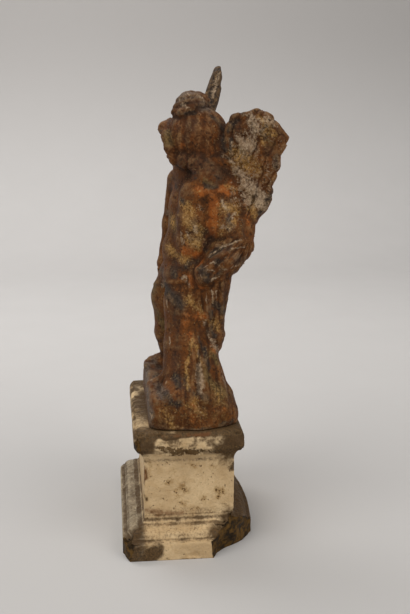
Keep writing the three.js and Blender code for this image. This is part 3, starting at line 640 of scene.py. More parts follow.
HEAD_AXES = looking(math.pi - HEAD_TURN, HEAD_NOD)
HEAD_REACH = 31
LOCKS = 18
cap = mass([0, -1.2, 1.2], [16.4, 18.4, 16.8])
nape = limb([[2, -6, -4, 12.5], [6, -8, -16, 8.5]])
nape_curls = mass([18.5, 13.5, 207.5], [7, 6.5, 6])
side_curls = together([mass([11, -3, -13.5], [6.5, 6, 5]), mass([11.5, 4, -10.5], [5, 4.6, 4.6])], 1.5)
skull = mass([0, 4.6, -2.6], [11.4, 12.6, 15])
cheek = mass([5.6, 11, -7], [4.8, 4.6, 5])
eye_socket = mass([4.8, 17.6, -0.6], [3.2, 2.4, 2.2])
eyeball = mass([4.5, 14.3, -0.9], [2.2, 2, 1.3])
upper_lid = limb([[2.6, 16, -0.7, 0.4], [4.5, 16.6, 0.4, 0.5], [6.8, 15.2, -0.6, 0.4]], 0.6)
brow = limb([[2, 16.7, 2.8, 0.7], [5, 16.3, 3.7, 0.7], [8, 13.6, 2.6, 0.6]], 1)
nose = bone([0, 16.4, 0.6, 1.4], [0, 18.3, -4.8, 1.7])
nostril = mass([1.5, 17.4, -5.3], [1.3, 1.5, 1.1])
chin = mass([0, 13.6, -13.4], [4, 4, 3.2])
upper_lip = limb([[0, 16.9, -8.4, 0.8], [2.8, 15.8, -8.9, 0.4]], 0.8)
lower_lip = mass([0, 16, -10], [2, 1.5, 0.9])
lobe = together([mass([4.4, -3.6, 19], [6.8, 8.6, 7.5]), mass([4.4, 1.4, 17], [6, 6.8, 4.4])], 2.5)
bow_roll = limb([[10, -6.5, 15.8, 2], [11.2, -1, 15, 2.3], [9, 2.4, 15.8, 1.8]])
face_opening = mass([0, 18.5, -3.4], [9.8, 8.4, 12])
knob = mass([4.5, 15.4, 10.4], [3.4, 3.4, 4])


def face(p, half):
    fleshy = join(join(skull(p), cheek(half), 4), chin(p), 3)
    features = join(join(nose(p), nostril(half), 1), join(upper_lip(half), lower_lip(p), 0.5), 1)
    sockets = keep(join(fleshy, features, 1.4), -eye_socket(half), 1.6)
    return join(join(sockets, eyeball(half), 0.5), join(upper_lid(half), brow(half), 0.6), 0.9)


def hair(p):
    s, f, u = p.T
    round_head = np.arctan2(s, -f)
    locks = 0.16 * np.cos(LOCKS * round_head + 0.3 * u) * ease(16, 8, u)
    return join(cap(p), nape(p), 5) - locks


def fringe(p):
    s, f, u = p.T
    round_face = np.arctan2(s, u + 2)
    across = (np.hypot(s / 12.8, (u + 2) / 14.4) - 1) * 13
    behind = f - 10.6 - 1.6 * np.cos(round_face)
    curls = 0.3 * np.cos(12 * round_face) + 0.1 * np.cos(36 * round_face + 2.4 * behind)
    return keep(np.hypot(across, behind * 0.9) - 2.9 - curls, -(u + 12), 2)


def topknot(p, half):
    s, f, u = half.T
    comb = 2.2 * (u - 18) + 0.02 * f * f
    strands = 0.2 * np.cos(comb) * ease(2, 6, s)
    return join(lobe(half) - strands, bow_roll(half), 1.2)


def head_form(p):
    half = p.copy()
    half[:, 0] = np.abs(half[:, 0])
    curls = side_curls(p) - 0.12 * np.cos(1.7 * p[:, 2] + 1.1 * p[:, 1])
    open_hair = keep(join(hair(p), curls, 2), -face_opening(p), 2)
    front = join(open_hair, join(fringe(p), knob(p), 2.5), 1.5)
    return join(join(front, topknot(p, half), 1.5), face(p, half), 1)


def head(p):
    centred = p - HEAD_CENTRE
    far = np.linalg.norm(centred, axis=1)
    value = far - HEAD_REACH
    close = far < HEAD_REACH + 10
    if close.any():
        value[close] = head_form(centred[close] @ HEAD_AXES)
    return value


# The wings are thick clay plates with rows of overlapping feathers pressed into them. The
# right one stands up behind the head, and both have lost their tips.
def inside_outline(outline):
    outline = np.array(outline, float)

    def form(u, v):
        nearest = np.full(len(u), np.inf)
        sign = np.ones(len(u))
        for here, before in zip(outline, np.roll(outline, 1, axis=0)):
            ex, ey = before - here
            px, py = u - here[0], v - here[1]
            share = np.clip((px * ex + py * ey) / (ex * ex + ey * ey), 0, 1)
            nearest = np.minimum(nearest, (px - ex * share) ** 2 + (py - ey * share) ** 2)
            above = v >= here[1]
            below = v < before[1]
            left = ex * py > ey * px
            sign[(above & below & left) | ~(above | below | left)] *= -1
        return sign * np.sqrt(nearest)

    return form


# Each feather rises along its length and drops at a rounded tip, and has a midrib and barbs
def feathers(across, along, width, length):
    top = np.zeros(len(across))
    rib = np.zeros(len(across))
    for shift in (0, 0.5):
        cell = across / width + shift
        side = np.abs(cell - np.floor(cell) - 0.5) * 2
        row = along / (2 * length) + shift + 0.2 * side * side
        height = row - np.floor(row)
        barbs = 0.16 * bump(side, 0, 0.22) + 0.07 * np.cos(9 * row + 14 * side)
        rib = np.where(height > top, barbs, rib)
        top = np.maximum(top, height)
    worn = 0.75 + 0.4 * np.sin(0.31 * across + 0.9) * np.sin(0.27 * along + 0.4)
    return (1.7 * np.minimum(top, 1.7 - top) - 0.6 + rib) * worn


def wing(root, spread, outline, thick, lean, relief):
    out = np.array([*spread, 0]) / math.hypot(*spread)
    face_way = np.array([abs(out[1]), -math.copysign(1, out[1]) * out[0], 0])
    rim_of = inside_outline(outline)

    def form(p):
        from_root = p - np.array(root, float)
        s, z = from_root @ out, from_root[:, 2]
        w = from_root @ face_way - lean(s, z)
        value = np.maximum(np.abs(w) - 5, np.abs(s - 22) - 38)
        close = (np.abs(w) < 14) & (np.abs(s - 22) < 42)
        if close.any():
            s, z, w = s[close], z[close], w[close]
            plate = np.abs(w) - thick(s, z) - relief(s, z) * np.sign(w)
            value[close] = keep(rim_of(s, z), plate, 2.4)
        return value

    return form


left_wing = wing(
    root=(9, 19, 200),
    spread=(0.62, 0.785),
    outline=[
        (-2, 6), (6, 22), (8.5, 34.5), (12.4, 39), (20.5, 41.4), (27.2, 42.6), (34.5, 38.8), (41.2, 31),
        (44, 27.2), (43.2, 22.6), (39.6, 17.6), (39.8, 12), (37.4, 5), (35.2, 1), (36.6, -2.6),
        (32.4, -12), (26, -19), (19, -24), (8, -22), (-2, -10),
    ],
    thick=lambda s, z: 2.3 + 2.2 * bump(s + 0.12 * (24 - z), 8, 7) + 1.6 * ease(0, -20, z),
    lean=lambda s, z: 1.5 - 0.004 * (s - 18) ** 2,
    relief=lambda s, z: feathers(s * 0.62 + z * 0.78, s * 0.78 - z * 0.62, 8.4, 8.4) * ease(9, 15, s),
)
right_wing = wing(
    root=(-11, 14, 200),
    spread=(-0.975, 0.22),
    outline=[
        (-2, 8), (7, 24), (14, 40), (20, 56), (25, 66), (29, 69.4), (32, 68.6), (33.5, 60), (34.5, 46),
        (34, 30), (31, 14), (26, 0), (19, -12), (10, -20), (-2, -14),
    ],
    thick=lambda s, z: 2.6 + 1.2 * ease(30, 8, s) + 1.4 * bump(z, 52, 13) - 0.6 * ease(60, 70, z),
    lean=lambda s, z: (
        6.4 - 0.22 * np.clip(69 - z, 0, 30) - 0.03 * np.maximum(39 - z, 0) - 0.01 * (s - 20) ** 2
    ),
    relief=lambda s, z: (
        0.9 * feathers(s * 0.5 + z * 0.87, s * 0.87 - z * 0.5, 8.4, 9) * ease(8, 14, s - 0.3 * z)
    ),
)


# The cloth is modelled in the same clay: wound round the left forearm, falling from it in
# flat folds, and drawn across the hips.
sleeve_round = limb([LEFT_HAND, [28.5, 21.5, 161.5, 9], LEFT_ELBOW], 4)
elbow_roll = mass([26.5, 33, 177], [5, 5.6, 5.4])
fall_body = limb([[27, 16.5, 150, 9], [25, 14.4, 132, 8], [24, 13.4, 114, 7.6]], 3)
thigh_web = limb([[20, 7.5, 150, 7.5], [20.5, 7.5, 138, 8], [20, 7, 124, 8]])
fall_hem = together([mass([26.5, 16.4, 118], [7, 6, 5.4]), mass([26, 12.4, 109.5], [7, 5.6, 4.6])], 1.5)
hip_form = together([belly, hips, left_leg, right_leg, buttocks], 4)


# The folds fan out from the elbow
def sleeve(p):
    x, y, z = p.T
    from_elbow = np.hypot(y - 36, z - 179)
    fan = np.arctan2(179 - z, 36 - y) + 0.05 * np.sin(0.42 * from_elbow + 0.1 * x) + 0.004 * from_elbow
    folds = 0.35 * np.cos(24 * fan) * ease(6, 18, from_elbow) * ease(24, 30, x)
    return join(sleeve_round(p) - folds, elbow_roll(p), 2)


def fall(p):
    x, y, z = p.T
    swing = y + 0.03 * (z - 130) + 0.7 * np.sin(0.11 * z) + 0.4 * np.sin(0.23 * z + 1)
    hanging = np.cos(0.95 * swing) * np.cos(0.09 * z + 0.5) + 0.6 * np.cos(1.5 * swing + 0.14 * z)
    folds = 0.35 * hanging * ease(18, 24, x) * ease(108, 124, z)
    draped = join(fall_body(p), thigh_web(p), 3) - folds
    return join(draped, fall_hem(p) - 0.3 * np.cos(1.1 * swing + 0.2 * z), 1.5)


def band(p):
    x, y, z = p.T
    middle = 151.5 + 0.16 * (x + y) - 0.0016 * x * x
    pleats = 0.55 * bump(z, middle - 5.8, 1.6) + 0.2 * bump(z, middle + 1, 1.8)
    pleats += 0.06 * np.cos(1.5 * (z - middle) + 0.12 * x)
    return keep(hip_form(p) - 0.25 - pleats, np.abs(z - middle) - 7.4, 3)


# A rocky support with hanging folds stands beside the left leg, and runs into the low base
# block that figure and support share.
FOLD_WIDTH = 2.2
support = together(
    [
        limb([[20.5, 3, 129, 8.5], [22, 4, 112, 11.6], [26, 4, 97, 13.4], [31, 6.5, 77, 17.4]], 4),
        limb([[22, -5, 100, 6], [36, -6, 84, 8.5]], 3),
        limb([[24, 14, 102, 3.5], [35, 20, 76, 8]], 3),
        mass([35, 4, 80], [14.5, 20, 17]),
    ],
    5,
)


def stump(p):
    x, y, z = p.T
    first = bump(y, 3.5 - 0.1 * (108 - z), FOLD_WIDTH) * ease(84, 92, z) * ease(122, 114, z)
    second = bump(y, 8.8 + 0.004 * (z - 96) ** 2, FOLD_WIDTH * 1.2) * ease(82, 88, z) * ease(112, 106, z)
    third = 0.7 * bump(y, 19 + 0.2 * (96 - z), FOLD_WIDTH) * ease(74, 84, z) * ease(110, 102, z)
    folds = np.maximum(np.maximum(first, second), third)
    return support(p) - 2.2 * folds * ease(22, 28, x)


def base_block(p):
    x, y, z = p.T
    rise = ease(TERRACOTTA_BOTTOM, GROUND, z)
    front_end = 0.93 * x + 0.367 * y - 49.4 + 3.5 * rise
    near_end = np.maximum(front_end, 0.994 * x - 0.109 * y - 49.8 + 3 * rise)
    ends = keep(near_end, -x - 52 + 6.5 * rise, 6)
    sides = keep(-y - 22 + 0.8 * rise, y - 28.5 + 4 * rise, 6)
    uneven = 0.5 * np.sin(0.31 * x + 1) * np.sin(0.27 * y) + 0.4 * np.sin(0.19 * x - 0.23 * y)
    return keep(keep(ends, sides, 9), z - GROUND + uneven, 3.5)


def clay(p):
    dressed = join(join(flesh(p), band(p), 0.8), join(sleeve(p), fall(p), 3), 5)
    winged = join(dressed, join(left_wing(p), right_wing(p), 1), 4)
    standing = join(winged, join(stump(p), base_block(p), 4), 5)
    haired = join(head(p), nape_curls(p) - 0.1 * np.cos(1.5 * p[:, 2] + 1.2 * p[:, 1]), 5)
    return keep(join(standing, haired, 4), TERRACOTTA_BOTTOM - p[:, 2], 0.01)


# The skin of the clay is sampled on a grid, finely only near the surface, and each grid
# cell that the surface crosses gives one point of the mesh.
CELL = 0.68
GRID_LOW = np.array([-56.0, -27.0, TERRACOTTA_BOTTOM - 2.2])
GRID_SIZE = np.array([112.0, 89.0, 205.0])
FACES_KEPT = 152000
CORNERS = np.array([[n & 1, n >> 1 & 1, n >> 2] for n in range(8)])
CELL_EDGES = [(n, n | bit) for n in range(8) for bit in (1, 2, 4) if not n & bit]


def measured(form, p):
    return np.concatenate([form(part) for part in np.array_split(p, max(len(p) // 40000, 1))])


def between(values):
    for axis in range(3):
        values = np.moveaxis(values, axis, 0)
        finer = np.empty((2 * len(values) - 1, *values.shape[1:]))
        finer[::2] = values
        finer[1::2] = (values[1:] + values[:-1]) / 2
        values = np.moveaxis(finer, 0, axis)
    return values


def band_values(form):
    count = np.ceil(GRID_SIZE / (4 * CELL)).astype(int) + 1
    grid = np.indices(count).reshape(3, -1).T
    values = measured(form, grid * 4 * CELL + GRID_LOW).reshape(count)
    for step, margin in ((2, 1.4), (1, 1.5)):
        values = between(values)
        close = np.argwhere(np.abs(values) < margin * 2 * step * CELL)
        values[tuple(close.T)] = measured(form, close * step * CELL + GRID_LOW)
    return values


def skin_of(form):
    values = band_values(form)
    inside = values < 0
    span = np.array(values.shape) - 1
    count = np.zeros(span, np.uint8)
    for corner in CORNERS:
        count += inside[tuple(slice(c, c + n) for c, n in zip(corner, span))]
    crossed = (count > 0) & (count < 8)
    cells = np.argwhere(crossed)
    corner_values = np.stack([values[tuple((cells + corner).T)] for corner in CORNERS], axis=1)
    points = np.zeros((len(cells), 3))
    crossings = np.zeros(len(cells))
    for a, b in CELL_EDGES:
        first, second = corner_values[:, a], corner_values[:, b]
        cut = (first < 0) != (second < 0)
        share = first[cut] / (first[cut] - second[cut])
        points[cut] += CORNERS[a] + share[:, None] * (CORNERS[b] - CORNERS[a])
        crossings[cut] += 1
    points = GRID_LOW + CELL * (cells + points / crossings[:, None])
    number = np.full(span, -1)
    number[crossed] = np.arange(len(cells))
    faces = []
    for axis in range(3):
        change = inside != np.roll(inside, -1, axis)
        for side in range(3):
            border = np.moveaxis(change, side, 0)
            border[-1] = False
            border[0] &= side == axis
        nodes = np.argwhere(change)
        b, c = np.roll(np.eye(3, dtype=int), -axis, axis=0)[1:]
        quads = np.stack([number[tuple((nodes - o).T)] for o in (0 * b, b, b + c, c)], axis=1)
        inward = ~inside[tuple(nodes.T)]
        quads[inward] = quads[inward][:, ::-1]
        faces.append(quads)
    return points, np.concatenate(faces)


def largest_sheet(points, faces):
    lead = np.arange(len(points))
    changed = True
    while changed:
        lowest = lead[faces].min(axis=1)
        new_lead = lead.copy()
        np.minimum.at(new_lead, faces.ravel(), np.repeat(lowest, 4))
        new_lead = new_lead[new_lead]
        changed = (new_lead != lead).any()
        lead = new_lead
    names, sizes = np.unique(lead, return_counts=True)
    kept = lead == names[np.argmax(sizes)]
    renumber = np.cumsum(kept) - 1
    return points[kept], renumber[faces[kept[faces[:, 0]]]]


def slope_of(form, p, probe=0.06):
    here = measured(form, p)
    steps = np.eye(3) * probe
    slope = np.stack([measured(form, p + step) - here for step in steps], axis=1) / probe
    return here, slope


skin_points, skin_faces = largest_sheet(*skin_of(clay))
for _ in range(2):
    value, slope = slope_of(clay, skin_points)
    square = np.maximum((slope**2).sum(axis=1), 0.2)
    move = np.clip(value / square, -0.3 * CELL, 0.3 * CELL)
    skin_points -= move[:, None] * slope
outward = slope / np.maximum(np.linalg.norm(slope, axis=1), 0.1)[:, None]

# Marks on the clay, by mask, seen in the photograph and placed in its pixels. Each runs
# from one place to another: [across, down, across, down, reach in pixels, strength]
MARKS = {
    "rust": [
        (196, 191, 228, 190, 5.5, 1.1), (213, 200, 213, 232, 5, 1.3), (210, 236, 206, 250, 5, 1.3),
        (204, 252, 197, 268, 4.5, 1.3), (183, 250, 203, 258, 6, 0.8), (190, 278, 201, 288, 4.5, 1.1),
        (184, 316, 178, 340, 7, 0.6), (190, 332, 192, 348, 2.4, 0.9), (198, 316, 206, 316, 4, 0.9),
        (230, 182, 236, 190, 5, 0.8), (245, 205, 248, 222, 4, 0.5), (182, 146, 184, 146, 3, 0.7),
        (208, 166, 212, 170, 3, 0.5), (184, 240, 200, 262, 4, 0.5), (170, 205, 176, 218, 5, 0.5),
        (182, 408, 196, 420, 5, 0.4), (211, 412, 226, 408, 4, 0.4), (240, 122, 236, 130, 4, 0.4),
        (211, 343, 217, 352, 3, 0.5),
    ],
    "ochre": [
        (234, 152, 246, 166, 7, 0.8), (250, 158, 260, 172, 6, 0.6), (264, 130, 274, 136, 4, 0.9),
        (262, 142, 270, 152, 3, 0.7), (258, 114, 262, 120, 3, 0.9), (266, 124, 276, 134, 5, 0.8),
        (180, 200, 190, 214, 6, 0.9), (186, 220, 200, 232, 6, 1.1), (172, 222, 196, 244, 8, 1),
        (168, 246, 188, 262, 7, 1), (224, 206, 238, 212, 5, 0.8), (236, 220, 228, 228, 5, 0.7),
        (252, 208, 256, 214, 4, 0.8), (226, 186, 236, 190, 4, 0.7), (192, 190, 198, 192, 3, 0.6),
        (162, 412, 174, 424, 4, 0.5), (196, 402, 204, 416, 5, 0.5), (214, 386, 220, 404, 5, 0.4),
        # The last four ochre marks, down the ridges of the hanging folds, are painted highlights
        (190, 300, 202, 312, 5, 0.6), (213, 322, 218, 328, 5, 0.7), (193, 338, 190, 356, 2.4, 1.1),
        (190, 356, 186, 374, 2.6, 1), (197, 346, 201, 362, 2, 1), (187, 374, 187, 386, 3, 1),
    ],
    # The lime marks are lime crust, with painted highlights along the sleeve's folds, the hanging cloth's
    # folds, the near leg's front edge and the block's edge
    "lime_and_highlight": [
        (238, 172, 250, 186, 5, 1), (250, 186, 262, 196, 5, 0.9), (240, 190, 250, 200, 4, 0.6),
        (236, 136, 252, 146, 7, 0.7), (250, 116, 256, 128, 5, 0.8), (264, 118, 274, 126, 4, 0.6),
        (260, 200, 266, 208, 5, 0.6), (181, 232, 183, 242, 1.8, 1.3), (188, 232, 190, 238, 1.4, 0.9),
        (195, 226, 196, 232, 1.8, 1.1), (200, 206, 203, 210, 2.6, 0.6), (223, 203, 226, 208, 2.6, 0.8),
        (221, 226, 228, 230, 3, 0.7), (224, 156, 230, 160, 2.6, 0.8), (216, 168, 246, 188, 5, 0.4),
        (222, 156, 234, 164, 1.4, 1.1), (222, 200, 224, 206, 1.4, 1.2), (230, 220, 236, 212, 1.2, 1),
        (180, 100, 184, 106, 2.4, 0.9), (186, 94, 192, 95, 2, 0.8), (199, 97, 204, 100, 3, 1),
        (186, 108, 196, 107, 1.5, 0.8), (216, 78, 212, 98, 2.4, 1.1), (219, 72, 217, 80, 2, 1),
        (162.5, 285, 186, 277.5, 2, 2.4), (186, 279, 190, 287, 2.4, 0.8), (168, 300, 170, 345, 1.5, 1.1),
        (170, 345, 167, 384, 1.5, 0.9), (206, 288, 207, 302, 1.2, 1), (212, 290, 213, 302, 1.2, 1.1),
        (216, 290, 217, 298, 1.1, 1), (222, 288, 223, 298, 1, 0.7), (205, 322, 208, 336, 1.8, 1),
        (198, 352, 201, 366, 1.6, 0.9), (200, 366, 203, 386, 3.2, 1.4), (197, 376, 200, 392, 3, 1.1),
        (213, 342, 218, 350, 3.4, 0.9), (208, 257, 222, 247, 1.1, 1.3), (222, 247, 236, 241, 1.1, 1.2),
        (236, 241, 246, 238, 1.1, 1), (222, 258, 232, 256, 1, 1.1), (204, 268, 214, 263, 1, 1.2),
        (214, 263, 224, 269, 1, 1.2), (224, 269, 238, 266, 1, 1), (232, 248, 246, 246, 1, 1),
        (208, 270, 216, 272, 0.9, 1), (211, 283, 213, 279, 1, 1.5), (213, 279, 218, 277, 1, 1.5),
        (200, 274, 201, 279, 1, 1), (151, 380, 153, 418, 3, 0.8), (222, 372, 228, 392, 2.2, 0.6),
    ],
    # Of the soot marks, those under the hair on the shoulder, on the head's right side, beside the far foot
    # and along the bottom of the clay's base block are painted shadow
    "soot_and_shade": [
        (160, 268, 174, 276, 5, 0.8), (182, 270, 192, 262, 4, 0.6), (166, 288, 178, 302, 7, 1.1),
        (200, 268, 208, 280, 6, 1.1), (212, 254, 222, 246, 4, 0.8), (224, 262, 214, 262, 3, 0.7),
        (216, 276, 222, 272, 4, 0.7), (214, 336, 224, 340, 3, 1.3), (216, 304, 224, 312, 4, 0.8),
        (204, 350, 208, 366, 4, 1.2), (200, 336, 202, 352, 2, 0.9), (210, 314, 212, 336, 2.4, 0.9),
        (176, 378, 180, 386, 5, 1), (164, 396, 178, 404, 5, 1), (160, 366, 164, 398, 4, 0.8),
        (196, 394, 206, 398, 4, 0.8), (184, 378, 190, 392, 2.4, 0.6), (194, 177, 206, 185, 2, 0.8),
        (206, 186, 218, 188, 1.8, 0.8), (172, 180, 182, 200, 3, 0.6), (266, 124, 260, 132, 2.4, 1),
        (262, 140, 270, 136, 2, 0.8), (256, 150, 256, 130, 2, 0.8), (276, 156, 277, 166, 4, 0.9),
        (272, 192, 262, 212, 4, 1), (232, 140, 230, 152, 3, 1.1), (242, 112, 242, 112, 3, 0.9),
        (228, 132, 236, 120, 3, 0.8), (220, 68, 221, 76, 2.6, 1.6), (219, 80, 217, 88, 2.4, 1.3),
        (219, 92, 216, 106, 3, 1.1), (208, 94, 213, 76, 2.6, 1.4), (213, 76, 217, 66, 2.4, 1.4),
        (208, 104, 214, 106, 3, 0.9), (186, 104, 198, 103, 1.8, 0.9), (178, 113, 196, 113, 2, 1.1),
        (212, 116, 222, 128, 4, 0.8), (223, 138, 224, 150, 4, 0.9), (160, 130, 160, 130, 2, 0.9),
        (236, 240, 226, 250, 3, 0.6), (242, 220, 244, 236, 3, 0.5), (226, 216, 226, 230, 3, 0.6),
        (152, 428, 196, 430, 2, 1), (200, 430, 228, 424, 2, 1), (226, 426, 233, 423, 3, 0.8),
    ],
    "olive": [
        (154, 286, 164, 326, 6, 1.1), (170, 220, 205, 246, 11, 0.8), (206, 372, 222, 392, 6, 0.9),
        (212, 352, 218, 362, 5, 0.9), (166, 132, 170, 142, 4, 0.8), (205, 180, 214, 184, 3, 0.8),
        (240, 150, 250, 160, 7, 0.5), (262, 130, 270, 144, 8, 0.6), (250, 190, 264, 206, 8, 0.6),
    ],
    # The grey marks are grey dust, with painted cool light on the strip under the chin, the block's left
    # face, the top knot and the standing wing's tip
    "grey_dust_and_cool_light": [
        (168, 212, 168, 212, 4, 1), (146, 366, 150, 416, 5, 1), (155, 362, 164, 398, 6, 0.8),
        (216, 250, 240, 262, 8, 0.6), (226, 206, 230, 226, 5, 0.8), (180, 96, 204, 106, 9, 0.8),
        (216, 72, 212, 104, 5, 0.9), (254, 186, 264, 206, 7, 0.7), (250, 120, 254, 134, 6, 0.7),
        (208, 300, 210, 330, 4, 0.4),
    ],
    # Of the deep marks, those just under the head and beside its right side are painted shade; the rest is
    # dark clay and hair
    "deep_brown_and_shade": [
        (182, 160, 214, 168, 10, 1), (188, 176, 220, 176, 7, 1), (180, 182, 192, 180, 5, 0.8),
        (172, 267, 188, 268, 4, 0.5), (176, 300, 178, 370, 6, 0.7), (176, 352, 176, 380, 6, 0.8),
        (232, 116, 236, 130, 7, 1.2), (260, 109, 260, 109, 5, 1.1), (224, 124, 224, 124, 5, 1),
        (268, 150, 268, 150, 7, 0.9), (276, 128, 284, 140, 4, 0.7), (220, 168, 230, 174, 5, 0.8),
        (220, 258, 220, 258, 7, 0.6), (224, 284, 228, 300, 5, 0.7), (176, 186, 190, 194, 6, 0.6),
    ],
}
PHOTO_MIDDLE = (205, 307)
LENS_IN_PIXELS = 853
PIXEL_ON_CLAY = 0.57
CAMERA_PLACE = np.array([489.6, -39.7, 229])
CAMERA_TURN = math.radians(83.8)
CAMERA_TILT = math.radians(11.5)
RAY_START = 360.0
RAY_STEPS = 60
CAREFUL = 0.8


# Walks along the camera's rays until they meet the clay, and gives whole millimetres
def on_clay(pixels):
    left, ahead, up = looking(CAMERA_TURN, CAMERA_TILT).T
    off = (pixels - PHOTO_MIDDLE) / LENS_IN_PIXELS
    rays = ahead - off[:, :1] * left - off[:, 1:] * up
    rays /= np.linalg.norm(rays, axis=1)[:, None]
    far = np.full(len(rays), RAY_START)
    for _ in range(RAY_STEPS):
        far += CAREFUL * clay(CAMERA_PLACE + far[:, None] * rays)
    return np.round(CAMERA_PLACE + far[:, None] * rays)


marks_on_clay = {}
for kind, marks in MARKS.items():
    marks = np.array(marks)
    start, end = on_clay(marks[:, :2]), on_clay(marks[:, 2:4])
    marks_on_clay[kind] = list(zip(start, end, PIXEL_ON_CLAY * marks[:, 4], marks[:, 5]))


def crust(p):
    laid = painted(p, marks_on_clay["lime_and_highlight"]) + 0.5 * painted(p, marks_on_clay["ochre"])
    return laid + 0.55 * ease(0.2, 0.7, crumb(p, 15, 21))


# Narrow grooves that run along one direction, as if a tool had been drawn through wet clay
def grooves(across, along, width, stretch, seed):
    stretched = np.stack([across, along / stretch, 0.3 * along / stretch], axis=1)
    return np.minimum(3 * np.abs(cloud(stretched, width, seed)), 1) - 0.7


# The sleeve is creased towards the elbow, the hanging cloth downwards, and hair and feathers
# are drawn along their length
def drawn_lines(p):
    x, y, z = p.T
    from_elbow = np.hypot(y - 36, z - 179)
    fan = 24 * np.arctan2(179 - z, 36 - y) + 0.8 * crumb(p, 9, 51)
    swing = y + 0.03 * (z - 130) + 1.2 * crumb(p, 14, 52)
    on_sleeve = ease(2.5, 1, measured(sleeve_round, p)) * ease(22, 27, x) * ease(4, 12, from_elbow)
    on_fall = ease(2.5, 1, measured(fall_body, p)) * ease(20, 26, x) * (1 - on_sleeve)
    on_stump = ease(22, 28, x) * ease(128, 118, z) * ease(78, 90, z)
    s, f, u = ((p - HEAD_CENTRE) @ HEAD_AXES).T
    on_hair = ease(25, 21, np.hypot(s, np.hypot(f + 3, u - 2))) * ease(9, 4, f)
    on_wings = ease(1, 0, measured(lambda q: join(left_wing(q), right_wing(q), 1), p)) * ease(21, 25, y)
    lines = 1.1 * on_sleeve * grooves(fan, from_elbow, 3.4, 7, 53)
    lines += 0.7 * on_sleeve * grooves(fan, from_elbow, 1.9, 9, 54)
    lines += 0.8 * on_fall * grooves(swing, z, 3, 6, 55)
    lines += 0.5 * on_stump * grooves(y + 0.8 * crumb(p, 9, 56), z, 3.4, 7, 57)
    lines += 0.25 * on_hair * grooves(16 * np.arctan2(s, -f) + 1.5 * crumb(p, 12, 58), u, 2.6, 4, 59)
    lines += 1.5 * on_wings * grooves(y - 0.35 * z + 1.2 * crumb(p, 8, 60), z + 0.35 * y, 4.6, 2.2, 61)
    return lines


limed = np.clip(crust(skin_points), 0, 1.2)
low_down = ease(GROUND + 8, GROUND - 4, skin_points[:, 2])
relief = 0.16 * crumb(skin_points, 6, 22) + 0.05 * crumb(skin_points, 1.7, 23, 1)
relief += 0.6 * drawn_lines(skin_points)
relief += 0.25 * limed * np.maximum(cloud(skin_points, 2.1, 24), -0.2)
relief -= 0.35 * ease(0.55, 0.85, cloud(skin_points, 2.6, 25))
relief += (0.5 * cloud(skin_points, 9, 26) + 0.25 * crumb(skin_points, 3, 27)) * low_down
clear = ease(TERRACOTTA_BOTTOM, TERRACOTTA_BOTTOM + 1.5, skin_points[:, 2])
skin_points += outward * (relief * clear)[:, None]
skin_points[:, 2] = np.maximum(skin_points[:, 2], TERRACOTTA_BOTTOM)
figure = piece_from("clay_figure", skin_points, skin_faces.tolist())
if 2 * len(skin_faces) > FACES_KEPT:
    thinning = figure.modifiers.new("thinning", "DECIMATE")
    thinning.ratio = FACES_KEPT / (2 * len(skin_faces))
    apply_modifier(figure, thinning)


# How far each point stands out from its surroundings, in millimetres
def stand_out(piece, rounds):
    ends = np.zeros(len(piece.data.edges) * 2, np.int32)
    piece.data.edges.foreach_get("vertices", ends)
    pairs = ends.reshape(-1, 2)
    here, there = np.concatenate([pairs, pairs[:, ::-1]]).T
    places = points_of(piece)
    count = np.bincount(here, minlength=len(places))
    mean = places.copy()
    for _ in range(rounds):
        total = [np.bincount(here, mean[there, axis], len(places)) for axis in range(3)]
        mean = np.stack(total, axis=1) / np.maximum(count, 1)[:, None]
    return ((places - mean) * normals_of(piece)).sum(axis=1)


places = points_of(figure)
outward = normals_of(figure)
x, y, z = places.T
hollow = ease(1.9, 0.4, measured(clay, places + 2.2 * outward))
masks = {}
for kind, marks in marks_on_clay.items():
    masks[kind] = painted(places, marks, 0.5 if kind == "lime_and_highlight" else 1.2)
SPECKLED = [("ochre", 0.3, 9, 33), ("lime_and_highlight", 0.2, 8, 34), ("olive", 0.35, 20, 36)]
for kind, strength, size, seed in SPECKLED:
    masks[kind] += strength * ease(0.1, 0.6, crumb(places, size, seed))
masks["rust"] += 0.3 * hollow * ease(-0.3, 0.3, crumb(places, 16, 31))
masks["rust"] += 0.35 * ease(0.2, 0.7, crumb(places, 6, 32))
# Soot lies in patches, and the hollows are darkened with it as painted shade
masks["soot_and_shade"] += 0.45 * ease(0.15, 0.6, crumb(places, 10, 35)) + 0.3 * hollow
on_block = ease(94, 88, z)
# Grey dust, and painted cool light and sheen, on the block's faces turned left and on every face turned up
masks["grey_dust_and_cool_light"] += 0.6 * ease(0.35, 0.95, -outward[:, 1]) * on_block + 0.25 * ease(0.5, 1, outward[:, 2])
# Painted shade: the figure's faces turned to the left are darkened
masks["deep_brown_and_shade"] += 0.4 * ease(0.6, 0.95, -outward[:, 1]) * (1 - on_block)
standing_wing = ease(-18, -24, x) * ease(212, 250, z + 12 * crumb(places, 14, 37))
masks["soot_and_shade"] += 1.3 * standing_wing
# Painted cool light greys the standing wing a little
masks["grey_dust_and_cool_light"] += 0.1 * standing_wing
from_head = (places - HEAD_CENTRE) @ HEAD_AXES
on_knot = ease(238, 242, z) * ease(-20, -16, x)
masks["rust"] *= 1 - 0.9 * on_knot
masks["ochre"] *= 1 - 0.7 * on_knot
# Painted cool light greys the top knot
masks["grey_dust_and_cool_light"] += 0.15 * on_knot
masks["hair"] = ease(24, 20, np.linalg.norm(from_head - [0, -3, 2], axis=1))
masks["hollow"] = hollow
raised = stand_out(figure, 5)
masks["ridge"] = ease(0.02, 0.16, raised)
feathered = ease(22, 27, y) * ease(184, 192, z)
masks["dip"] = ease(-0.02, -0.16, raised)
